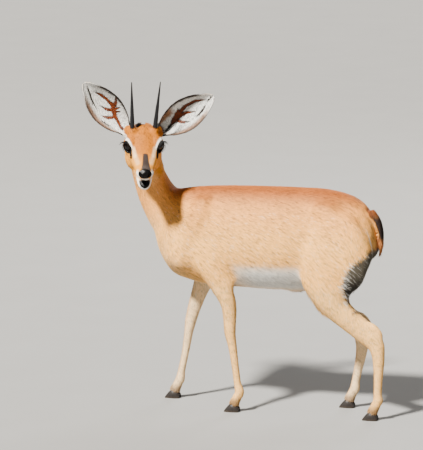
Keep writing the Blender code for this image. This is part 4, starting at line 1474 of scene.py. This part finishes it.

# %% [markdown]
# Both edges of the ear have a dark rim and the tip is pale. The left ear has a black patch at its
# root in the photo. Under the hair the cup is painted darker, except at its edges: painted shade,
# for the shade in the gaps between hairs. The cup takes the left half of the ear's map and the back
# the right half.

# %% The ear's colours
EAR_WHITE = np.array((0.800, 0.785, 0.740))
EAR_BACK = np.array((0.400, 0.170, 0.060))
EAR_BROWN = np.array((0.260, 0.125, 0.060))
STEM_DARK = np.array((0.010, 0.004, 0.002))
RIM_DARK = np.array((0.010, 0.006, 0.005))
RUST = np.array((0.225, 0.041, 0.004))
CUP_SHADE = 0.45


def inside_colours(side, share, lateral):
    """Colours of the cup. lateral is -1 at the edge near the crown and 1 at the other."""
    colours = np.tile(EAR_WHITE, (len(share), 1))
    if side == "left":
        lobe = step_up(0.42, 0.30, share) * step_up(-0.30, -0.52, lateral)
        colours = over(colours, EAR_BROWN, lobe)
        root = step_up(0.13, 0.08, share) * step_up(0.25, 0.05, lateral)
        colours = over(colours, BLACK, root)
    low_edge = step_up(0.58, 0.84, lateral) * step_up(0.92, 0.66, share)
    colours = over(colours, EAR_BROWN, low_edge * 0.9)
    mark = finger_mask(side, share, lateral)
    core = finger_mask(side, share, lateral, -0.0014)[:, None]
    dark_root = 0.20 if side == "left" else 0.06
    core = core * step_up(dark_root, dark_root + 0.10, share)[:, None]
    colours = over(colours, STEM_DARK, mark)
    colours = colours + (RUST - colours) * core
    for path in EAR_DARK_HAIRS[side]:
        colours = over(colours, RIM_DARK, stroke(share, lateral, path, 0.0008))
    upper = step_up(-0.84, -0.92, lateral) * step_up(0.90, 0.78, share)
    lower = step_up(0.90, 0.96, lateral) * step_up(0.85, 0.70, share)
    return over(colours, RIM_DARK, np.maximum(upper, lower * 0.8))


def outside_colours(share, lateral):
    colours = np.tile(EAR_BACK, (len(share), 1))
    edge = step_up(0.74, 0.95, np.abs(lateral)) * step_up(0.98, 0.85, share)
    colours = over(colours, RIM_DARK * 1.5, edge)
    colours = over(colours, BLACK * 2, step_up(0.16, 0.06, share))
    return over(colours, CREAM, step_up(0.88, 0.98, share) * 0.7)


def read_number(mesh, name):
    values = np.empty(len(mesh.vertices), np.float32)
    mesh.attributes[name].data.foreach_get("value", values)
    return values.astype(float)


def ear_map(share, round_it, inside):
    """Places on the map, from shares along the ear and places round it."""
    across = (round_it * 0.47 + 0.5) / 2 + np.where(inside > 0.5, 0.0, 0.5)
    return np.stack((across, 0.02 + 0.94 * share), axis=-1)


def dress_ear(side):
    ear = EARS[side]
    triangulate(ear)
    mesh = ear.data
    share, round_it = read_number(mesh, "share"), read_number(mesh, "round_it")
    inside = read_number(mesh, "inside")
    lateral = round_it * SIDES[side]
    fingers = finger_mask(side, share, lateral)
    # painted shade in the cup under the hair, for the gaps between hairs, lighter at the edges
    edges = step_up(0.86, 0.93, np.abs(lateral))
    shade = CUP_SHADE + (1 - CUP_SHADE) * edges
    cup = inside_colours(side, share, lateral) * shade[:, None]
    back = outside_colours(share, lateral)
    paint(mesh, "coat_colour", back + (cup - back) * inside[:, None])
    number(mesh, "bare", fingers * inside * 0.3)
    corners = np.empty(len(mesh.loops), np.int32)
    mesh.loops.foreach_get("vertex_index", corners)
    cup_face = inside[corners].reshape(-1, 3).mean(axis=1).round().repeat(3)
    write_map(mesh, ear_map(share[corners], round_it[corners], cup_face))
    mesh.materials.append(SKIN_FINISH)
    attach(ear, "root")
    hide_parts("ear_" + side)


for side in SIDES:
    dress_ear(side)
print("ears painted")

# %% [markdown]
# The hair inside the ear is long and white. From the edge near the crown it is combed
# across, over the dark stem, which gives the stem its saw-toothed edge. On the other side
# it runs along the cup to the tip. The back has short hair like the neck's. Roots are
# drawn as places along and round the ear, so that each hair knows whether it grows in the
# mark.

# %% The hair of the ears
CUP_TUFTS = 10000
CUP_HAIR = 0.0085
BACK_TUFTS = 9000
BACK_HAIR = 0.0060
SHADED_TUFT_SHARE = 0.20
TINY_STEP = 0.004


def ear_surface(side, share, round_it, inset):
    """Points of the ear, the ways along and round it, and normals that face into the cup."""
    _, axis, opening, _ = ear_axes(side)
    here = ear_point(side, share, round_it, inset)
    ahead = ear_point(side, np.minimum(share + TINY_STEP, 1.0), round_it, inset)
    along = unit(ahead - here)
    along[share > 1 - 2 * TINY_STEP] = axis
    around = unit(ear_point(side, share, round_it + TINY_STEP, inset) - here)
    centre = ear_point(side, share, np.zeros(len(share)), inset)
    centre += opening * ear_roll(share)[1][:, None]
    normal = unit(np.cross(along, around))
    normal *= np.sign(np.sum(normal * (centre - here), axis=1))[:, None]
    return here, along, around, normal


def cup_hair(side):
    way = SIDES[side]
    share = RANDOM.uniform(0.03, 0.985, CUP_TUFTS)
    lateral = RANDOM.uniform(-0.97, 0.97, CUP_TUFTS)
    _, radius = ear_roll(share)
    room = radius / radius.max()
    bare_mark = finger_mask(side, share, lateral)
    beside = finger_mask(side, share, lateral, 0.0045)
    keep = RANDOM.random(CUP_TUFTS) < np.maximum(room, 0.45)
    share, lateral, beside = share[keep], lateral[keep], beside[keep]
    in_mark = bare_mark[keep] > 0.25
    count = len(share)
    inset = EAR_INSET + EAR_WALL
    here, along, around, normal = ear_surface(side, share, lateral * way, inset)
    places_along, places_round, _ = zip(*EAR_STROKES[side][0])
    stem = np.interp(share, places_along, places_round)
    medial = step_up(0.02, -0.10, lateral - stem)[:, None]
    outward = around * way
    lie = along * (1.0 - 0.65 * medial) + outward * (0.95 * medial - 0.30 * (1 - medial))
    lie = laid_flat(lie + RANDOM.normal(0, 0.16, (count, 3)), normal)
    length = CUP_HAIR - 0.0030 * step_up(0.5, 0.95, share) - 0.0042 * beside
    length *= RANDOM.uniform(0.6, 1.2, count)
    width = RANDOM.uniform(0.0006, 0.0010, count)
    lift = np.radians(RANDOM.uniform(8, 20, count))
    shape = tuft_points(here, normal, lie, length, width, lift, 0.7)
    tint = inside_colours(side, share, lateral)
    tint = tint * RANDOM.normal(0.97, 0.15, count)[:, None].clip(0.5, 1.12)
    # some white tufts painted dark, as painted shade lines among the hair
    tint[(RANDOM.random(count) < SHADED_TUFT_SHARE) & (beside < 0.3)] *= 0.30
    tint[in_mark & (RANDOM.random(count) < 0.50)] = STEM_DARK
    places = ear_map(share, lateral * way, np.ones(count))
    make_tufts("ear_hair_" + side, shape, normal, tint, places)
    return count


def back_hair(side):
    way = SIDES[side]
    share = RANDOM.uniform(0.02, 0.97, BACK_TUFTS)
    lateral = RANDOM.uniform(-1, 1, BACK_TUFTS)
    here, along, _, inward = ear_surface(side, share, lateral * way, EAR_INSET)
    normal = -inward
    lie = laid_flat(along + RANDOM.normal(0, 0.14, (BACK_TUFTS, 3)), normal)
    length = BACK_HAIR * RANDOM.uniform(0.7, 1.2, BACK_TUFTS)
    width = RANDOM.uniform(0.0008, 0.0013, BACK_TUFTS)
    lift = np.radians(RANDOM.uniform(6, 14, BACK_TUFTS))
    shape = tuft_points(here, normal, lie, length, width, lift, None)
    tint = outside_colours(share, lateral) * RANDOM.normal(0.95, 0.15, BACK_TUFTS)[:, None]
    places = ear_map(share, lateral * way, np.zeros(BACK_TUFTS))
    make_tufts("ear_back_hair_" + side, shape, normal, tint, places)


for side in SIDES:
    print("hair in ear", side, cup_hair(side))
    back_hair(side)

# %% [markdown]
# The eyeball is a ball whose clear front swells a little. A copy of the solid's eye has
# facets and no point that looks ahead. So a ball is added at its middle and turned so
# that its pole looks out between the lids, and the pattern is centred and turned with it:
# a dark iris with finer streaks, a level oval pupil and a black rim. A clear coat makes
# it wet.

# %% The eyes
IRIS = 0.0098
PUPIL = 0.0036
PUPIL_SOFT = 0.0010
PUPIL_WIDE = 0.62
CORNEA = 0.0010


def eye_turn(side):
    """The eye's own axes in the model, as a matrix."""
    _, rise, out = eye_axes(side)
    axes = np.array((np.cross(rise, out), rise, out)) @ HEAD_AXES
    return Matrix(axes.tolist()).transposed()


def eye_finish(side):
    finish = Finish("eye_" + side, Roughness=0.15, Specular_IOR_Level=0.08)
    turn = tuple(eye_turn(side).to_euler())
    local = finish.place(turn=turn, at=tuple(EYE_CENTRES[side]))
    along, rise, _ = finish.split(local)
    spread = (along * along + rise * rise) ** 0.5
    squeezed = along * PUPIL_WIDE
    oval = (squeezed * squeezed + rise * rise) ** 0.5
    streaks = finish.noise(2400.0, 3.0, local)
    iris = finish.mix(rgb(0.006, 0.003, 0.002), rgb(0.022, 0.010, 0.004), streaks)
    black = rgb(0.002, 0.002, 0.002)
    pupil = finish.ramp(oval, PUPIL, PUPIL + PUPIL_SOFT, at_low=1.0, at_high=0.0)
    rim = finish.ramp(spread, IRIS * 0.80, IRIS)
    colour = finish.mix(finish.mix(iris, black, pupil), black, rim)
    return finish.set(Base_Color=colour, Coat_Weight=0.35, Coat_Roughness=0.02)


def add_eye(side):
    bpy.ops.object.select_all(action="DESELECT")
    bpy.ops.mesh.primitive_uv_sphere_add(segments=48, ring_count=32, radius=EYE_RADIUS)
    eye = bpy.context.object
    eye.name = "eyeball_" + side
    ball = points_of(eye.data)
    front = step_up(IRIS, 0.0, np.hypot(ball[:, 0], ball[:, 1])) * (ball[:, 2] > 0)
    ball[:, 2] += CORNEA * front
    set_points(eye.data, ball)
    turn = eye_turn(side).to_4x4()
    eye.data.transform(Matrix.Translation(Vector(EYE_CENTRES[side])) @ turn)
    bpy.ops.object.shade_smooth()
    eye.data.materials.append(eye_finish(side))
    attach(eye, "root")
    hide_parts("eye_" + side)


for side in SIDES:
    add_eye(side)
print("eyes:", round(EYE_RADIUS * 1000, 1), "mm in radius")

# %% [markdown]
# A horn is a black sheath that grows ring after ring. A tapered curve would be quicker,
# but it has no ridges. So the horn is grown here as in life: a round foot, then rings
# that are each a little narrower, with low ridges near the head. The line and the
# thickness are measured from the solid, ring by ring, and the edge loop is extruded up
# that line.

# %% The horns
HORN_STEPS = 64
HORN_SIDES = 28
HORN_TIP = 0.35
RIDGES = 22
RIDGE_HEIGHT = 0.045


def horn_finish():
    finish = Finish("horn_black", Specular_IOR_Level=0.20)
    grain = finish.noise(700.0, 4.0, finish.place(stretch=(1, 1, 14)))
    worn = finish.noise(60.0, 3.0)
    colour = finish.mix(rgb(0.0015, 0.0015, 0.0018), rgb(0.008, 0.008, 0.010), grain)
    colour = finish.mix(colour, rgb(0.020, 0.020, 0.022), worn * 0.35)
    return finish.set(
        Base_Color=colour,
        Roughness=0.30 + grain * 0.22,
        Normal=finish.bump(grain, 0.35, 0.0004),
    )


def horn_line(side):
    """Height, middle and radius of the solid's rings."""
    flat = np.array([v.co for v in CAD["horn_" + side].data.vertices])
    flat = flat[np.argsort(flat[:, 2])]
    breaks = np.nonzero(np.diff(flat[:, 2]) > 0.002)[0] + 1
    rows = []
    for ring in np.split(flat, breaks):
        centre = (ring.min(axis=0) + ring.max(axis=0)) / 2
        radius = np.linalg.norm(ring[:, :2] - centre[:2], axis=1).mean()
        rows.append((centre[2], *centre[:2], radius))
    return np.array(rows)


def add_horn(side):
    rows = horn_line(side)
    heights = np.linspace(rows[0, 0], rows[-1, 0], HORN_STEPS)
    x, y, radius = (curve_at(rows[:, 0], rows[:, k], heights) for k in (1, 2, 3))
    share = np.linspace(0, 1, HORN_STEPS)
    wave = np.sin(share * RIDGES * 2 * math.pi)
    radius = radius * (1 + RIDGE_HEIGHT * wave * step_up(0.5, 0.15, share))
    radius[-1] *= HORN_TIP
    bpy.ops.object.select_all(action="DESELECT")
    bpy.ops.mesh.primitive_circle_add(
        vertices=HORN_SIDES,
        radius=radius[0],
        fill_type="NGON",
        location=(x[0], y[0], heights[0]),
    )
    horn = bpy.context.object
    horn.name = "horn_sheath_" + side
    bpy.ops.object.transform_apply()
    bpy.ops.object.mode_set(mode="EDIT")
    bpy.ops.mesh.select_all(action="SELECT")
    for k in range(1, HORN_STEPS):
        step = (x[k] - x[k - 1], y[k] - y[k - 1], heights[k] - heights[k - 1])
        bpy.ops.mesh.extrude_region_move(TRANSFORM_OT_translate={"value": step})
        grow = radius[k] / radius[k - 1]
        bpy.ops.transform.resize(
            value=(grow, grow, 1.0), center_override=(x[k], y[k], heights[k])
        )
    bpy.ops.mesh.select_all(action="SELECT")
    bpy.ops.mesh.normals_make_consistent(inside=False)
    bpy.ops.object.mode_set(mode="OBJECT")
    bpy.ops.object.shade_smooth()
    horn.data.materials.append(HORN_FINISH)
    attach(horn, "root")
    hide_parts("horn_" + side)
    return len(horn.data.polygons)


HORN_FINISH = horn_finish()
for side in SIDES:
    print("horn", side, add_horn(side), "faces")

# %% [markdown]
# The nose pad is bare, black and wet, with the fine pebbled grain of a dog's nose. It
# starts as a copy of the solid, remeshed finely and smoothed, and a shallow groove is
# pressed down its middle. The pebbles are far too small to model, so cells in the bump
# make them.

# %% The nose pad
NOSE_VOXEL = 0.0006
GROOVE = 0.0008


def nose_finish():
    finish = Finish("nose_wet", Specular_IOR_Level=0.08, Coat_Roughness=0.12)
    cells = finish.node("TexVoronoi", None, {"Scale": 850.0, "Vector": finish.place()})
    wide = finish.noise(160.0, 2.0)
    colour = finish.mix(rgb(0.0008, 0.0008, 0.0009), rgb(0.0040, 0.0036, 0.0036), cells)
    return finish.set(
        Base_Color=colour,
        Roughness=0.32 + wide * 0.20,
        Coat_Weight=0.04,
        Normal=finish.bump(cells, 0.5, 0.0005),
    )


def add_nose():
    nose = copy_of("nose", "nose_pad")
    modify(nose, "REMESH", mode="VOXEL", voxel_size=NOSE_VOXEL)
    modify(nose, "SMOOTH", factor=0.5, iterations=8)
    modify(nose, "DISPLACE", strength=0.0005, mid_level=0.0)
    pad = points_of(nose.data)
    place = in_head(pad)
    middle_line = step_up(0.0016, 0.0, np.abs(place[:, 1])) * step_up(0.0, -0.006, place[:, 2])
    set_points(nose.data, pad - np.outer(GROOVE * middle_line, FORWARD))
    only(nose)
    bpy.ops.object.shade_smooth()
    nose.data.materials.append(nose_finish())
    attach(nose, "root")
    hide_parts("nose")
    return len(nose.data.polygons)


print("nose pad:", add_nose(), "faces")

# %% [markdown]
# Each claw of the hooves is a hard black sheath. The solid's shape is right, so a copy
# gets rounded edges. Growth lines are too fine for the mesh, so the finish adds them,
# with a dry, scuffed rim.

# %% The hooves
CLAW_EDGE = 0.0007
CLAW_SHARP = math.radians(38)
DUST_HEIGHT = 0.006
CLAWS = [
    f"claw_{end}_{side}_{place}"
    for end in ("fore", "hind")
    for side in ("left", "right")
    for place in ("inner", "outer")
]


def claw_finish():
    finish = Finish("hoof_black", Specular_IOR_Level=0.25)
    height = finish.split(finish.place())[2]
    wander = finish.noise(120.0, 2.0)
    lines = finish.node("Math", {"operation": "SINE"}, {0: height * 3400.0 + wander * 9.0})
    scuffs = finish.noise(420.0, 4.0)
    colour = finish.mix(rgb(0.005, 0.004, 0.004), rgb(0.024, 0.019, 0.016), scuffs)
    dust = finish.ramp(height, 0.0, DUST_HEIGHT, at_low=0.7, at_high=0.0)
    colour = finish.mix(colour, rgb(0.075, 0.055, 0.038), dust * scuffs)
    return finish.set(
        Base_Color=colour,
        Roughness=0.34 + scuffs * 0.25,
        Normal=finish.bump(lines * 0.35 + scuffs, 0.3, 0.0004),
    )


HOOF_FINISH = claw_finish()


def add_claw(node):
    claw = copy_of(node, "hoof_" + node)
    modify(
        claw,
        "BEVEL",
        width=CLAW_EDGE,
        segments=2,
        limit_method="ANGLE",
        angle_limit=CLAW_SHARP,
    )
    only(claw)
    bpy.ops.object.shade_smooth_by_angle(angle=math.radians(50))
    claw.data.materials.append(HOOF_FINISH)
    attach(claw, "root")
    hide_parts(node)


for node in CLAWS:
    add_claw(node)
print("claws:", len(CLAWS))

# %% [markdown]
# Longer hair breaks the outline where it does in life. It could be drawn with the short
# coat, but then it would have the same lift and width. So each place is a mask over the
# skin with its own length, width and lift, and its tufts are the bent kind.

# %% Longer hair


def long_hair(
    name, mask, spacing, length, width, lift, way=None, spread=0.16, bend=0.6, colour=None
):
    """Tufts where the mask is high, about spacing apart."""
    faces, roots, normals = draw_roots(np.clip(mask, 0, 1) / spacing**2)
    count = len(roots)
    lie = coat_lie(roots, normals)
    if way is not None:
        lie = laid_flat(lie * 0.25 + np.array(way), normals)
    lie = unit(lie + np.cross(normals, lie) * RANDOM.normal(0, spread, count)[:, None])
    lengths = length * RANDOM.uniform(0.65, 1.2, count)
    widths = width * RANDOM.uniform(0.75, 1.25, count)
    lifts = np.radians(lift) * RANDOM.uniform(0.7, 1.3, count)
    shape = tuft_points(roots, normals, lie, lengths, widths, lifts, bend)
    tint, _ = coat_colours(roots, normals)
    if colour is not None:
        tint = np.tile(colour, (count, 1))
    tint = tint * RANDOM.normal(1.0, 0.11, count)[:, None].clip(0.7, 1.35)
    places = tile_places(FACE_PARTS[faces], FACE_VIEWS[faces], roots)
    make_tufts(name, shape, normals, tint, places)
    print(name, count)


print("a tuft of longer hair has", len(LONG_FACES), "faces")

# %% [markdown]
# On the body it grows under the belly and in the groin, down the back of the thighs, on the tail,
# the back and the chest, and over the hooves. A few loose pale hairs edge the painted shade behind
# the thigh and cross it.

# %% Longer hair of the body
SKIN_X, _, SKIN_Z = (SKIN_POINTS - BODY_AT).T
FACING_BACK, _, FACING_UP = SKIN_NORMALS.T
BACKWARD = (0.9, 0.0, -0.5)
DOWN = (0.0, 0.0, -1.0)

belly = step_up(-0.45, -0.85, FACING_UP) * step_up(0.36, 0.33, SKIN_Z)
belly *= step_up(0.24, 0.27, SKIN_Z) * step_up(-0.17, -0.10, SKIN_X)
groin = belly * step_up(0.04, 0.10, SKIN_X)
thigh_back = step_up(0.30, 0.75, FACING_BACK) * step_up(0.20, 0.23, SKIN_X)
thigh_back *= step_up(0.235, 0.26, SKIN_Z) * step_up(0.425, 0.40, SKIN_Z)
tail = (POINT_PARTS == FLESH.index("tail")) * 1.0
off_head = 1 - head_share(SKIN_POINTS)
back_line = step_up(0.90, 0.97, FACING_UP) * step_up(0.50, 0.52, SKIN_Z) * off_head
chest = step_up(-0.20, -0.25, SKIN_X) * step_up(0.56, 0.50, SKIN_Z)
chest *= step_up(0.34, 0.37, SKIN_Z) * off_head
coronet = step_up(0.036, 0.030, SKIN_Z) * step_up(0.019, 0.023, SKIN_Z)
long_hair("hair_belly", belly, 0.0020, 0.014, 0.0013, 14)
long_hair("hair_groin", groin, 0.0020, 0.019, 0.0013, 22)
long_hair("hair_thighs", thigh_back, 0.0018, 0.015, 0.0012, 12, way=(0.3, 0.0, -1.0))
behind = past_edge(SKIN_POINTS)
fringe = step_up(-0.010, -0.005, behind) * step_up(0.004, 0.000, behind)
fringe *= step_up(0.252, 0.262, SKIN_Z) * step_up(0.404, 0.396, SKIN_Z)
speckle = thigh_shade_patch(SKIN_POINTS) * step_up(0.39, 0.37, SKIN_Z)
long_hair("hair_fringe", fringe, 0.0036, 0.016, 0.0008, 6, way=BACKWARD, colour=WHITE * 0.85)
long_hair("hair_speckle", speckle, 0.0085, 0.016, 0.0007, 6, way=BACKWARD, colour=WHITE * 0.7)
long_hair("hair_tail", tail, 0.0014, 0.0085, 0.0009, 5, way=DOWN, spread=0.07)
long_hair("hair_back", back_line, 0.0026, 0.012, 0.0013, 7)
long_hair("hair_chest", chest, 0.0026, 0.012, 0.0013, 9)
long_hair("hair_coronets", coronet, 0.0012, 0.0085, 0.0009, 18, way=DOWN)

# %% [markdown]
# On the head it stands round the roots of the horns and the ears and on the crown
# between them.

# %% Longer hair of the head
SKIN_PLACE = both_sides(in_head(SKIN_POINTS))


def ring_mask(forward, left, up, radius):
    """Both sides of the head at once, within a radius of a place."""
    gap = np.linalg.norm(SKIN_PLACE - (forward, left, up), axis=1)
    return step_up(radius, radius * 0.7, gap)


long_hair("hair_horn_feet", ring_mask(0.037, 0.0262, 0.036, 0.0125), 0.0012, 0.008, 0.0008, 26)
long_hair("hair_crown", ring_mask(0.020, 0.0120, 0.0375, 0.0085), 0.0010, 0.011, 0.0008, 38)
long_hair("hair_ear_roots", ring_mask(0.018, 0.0400, 0.016, 0.0190), 0.0012, 0.009, 0.0008, 20)

# %% [markdown]
# Lashes shade the eye: a row of stiff black hairs along the upper lid, longest at its
# outer half, that stand out sideways past the face and bend down, and a short thin row
# below. They could grow from the skin like the rest of the hair, but they have to stand
# in a row, so their roots are set along the oval of the lids.

# %% The lashes
UPPER_LASHES = 84
LOWER_LASHES = 26
LASH_LENGTH = 0.0175
LASH_WIDTH = 0.0009
LASH_REACH = 1.06
LID_DEPTH = 0.0024


def lash_row(side, angles, length, droop):
    """Stiff hairs rooted along the lids at these angles, from the inner corner up and back."""
    slant, rise, out = eye_axes(side)
    count = len(angles)
    along = LID_HALF_LENGTH * LASH_REACH * np.cos(angles)
    height = LID_HALF_HEIGHT * LASH_REACH * np.sin(angles)
    depth = np.sqrt((EYE_RADIUS + LID_DEPTH) ** 2 - along**2 - height**2)
    eye = in_head(EYE_CENTRES[side][None])[0]
    roots = eye + np.outer(along, slant) + np.outer(height, rise) + np.outer(depth, out)
    radial = np.outer(np.cos(angles), slant) + np.outer(np.sin(angles), rise)
    outer = step_up(0.2, -0.9, np.cos(angles))
    lie = out + np.outer(0.15 + 0.95 * outer, (0.0, SIDES[side], -0.30))
    lie = laid_flat(lie, radial)
    lift = np.radians(RANDOM.uniform(26, 46, count)) * droop * (1 - 0.65 * outer)
    shape = tuft_points(
        HEAD_AT + roots @ HEAD_AXES,
        radial @ HEAD_AXES,
        unit(lie + RANDOM.normal(0, 0.06, (count, 3))) @ HEAD_AXES,
        length * RANDOM.uniform(0.8, 1.1, count),
        np.full(count, LASH_WIDTH),
        lift,
        0.9,
    )
    return shape, radial @ HEAD_AXES


def add_lashes(side):
    upper = np.radians(np.linspace(30, 200, UPPER_LASHES) + RANDOM.normal(0, 2.0, UPPER_LASHES))
    stand = 0.50 + 0.50 * step_up(0.75, -0.35, np.cos(upper))
    lower = np.radians(np.linspace(215, 330, LOWER_LASHES) + RANDOM.normal(0, 2.0, LOWER_LASHES))
    rows = [
        lash_row(side, upper, LASH_LENGTH * stand, 1.0),
        lash_row(side, lower, np.full(LOWER_LASHES, LASH_LENGTH * 0.35), 1.4),
    ]
    shape, facing = (np.concatenate(parts) for parts in zip(*rows))
    tint = np.tile(BLACK, (len(shape), 1))
    places = np.tile((0.985, 0.985), (len(shape), 1))
    make_tufts("lashes_" + side, shape, facing, tint, places)


for side in SIDES:
    add_lashes(side)
print("lashes:", 2 * (UPPER_LASHES + LOWER_LASHES))
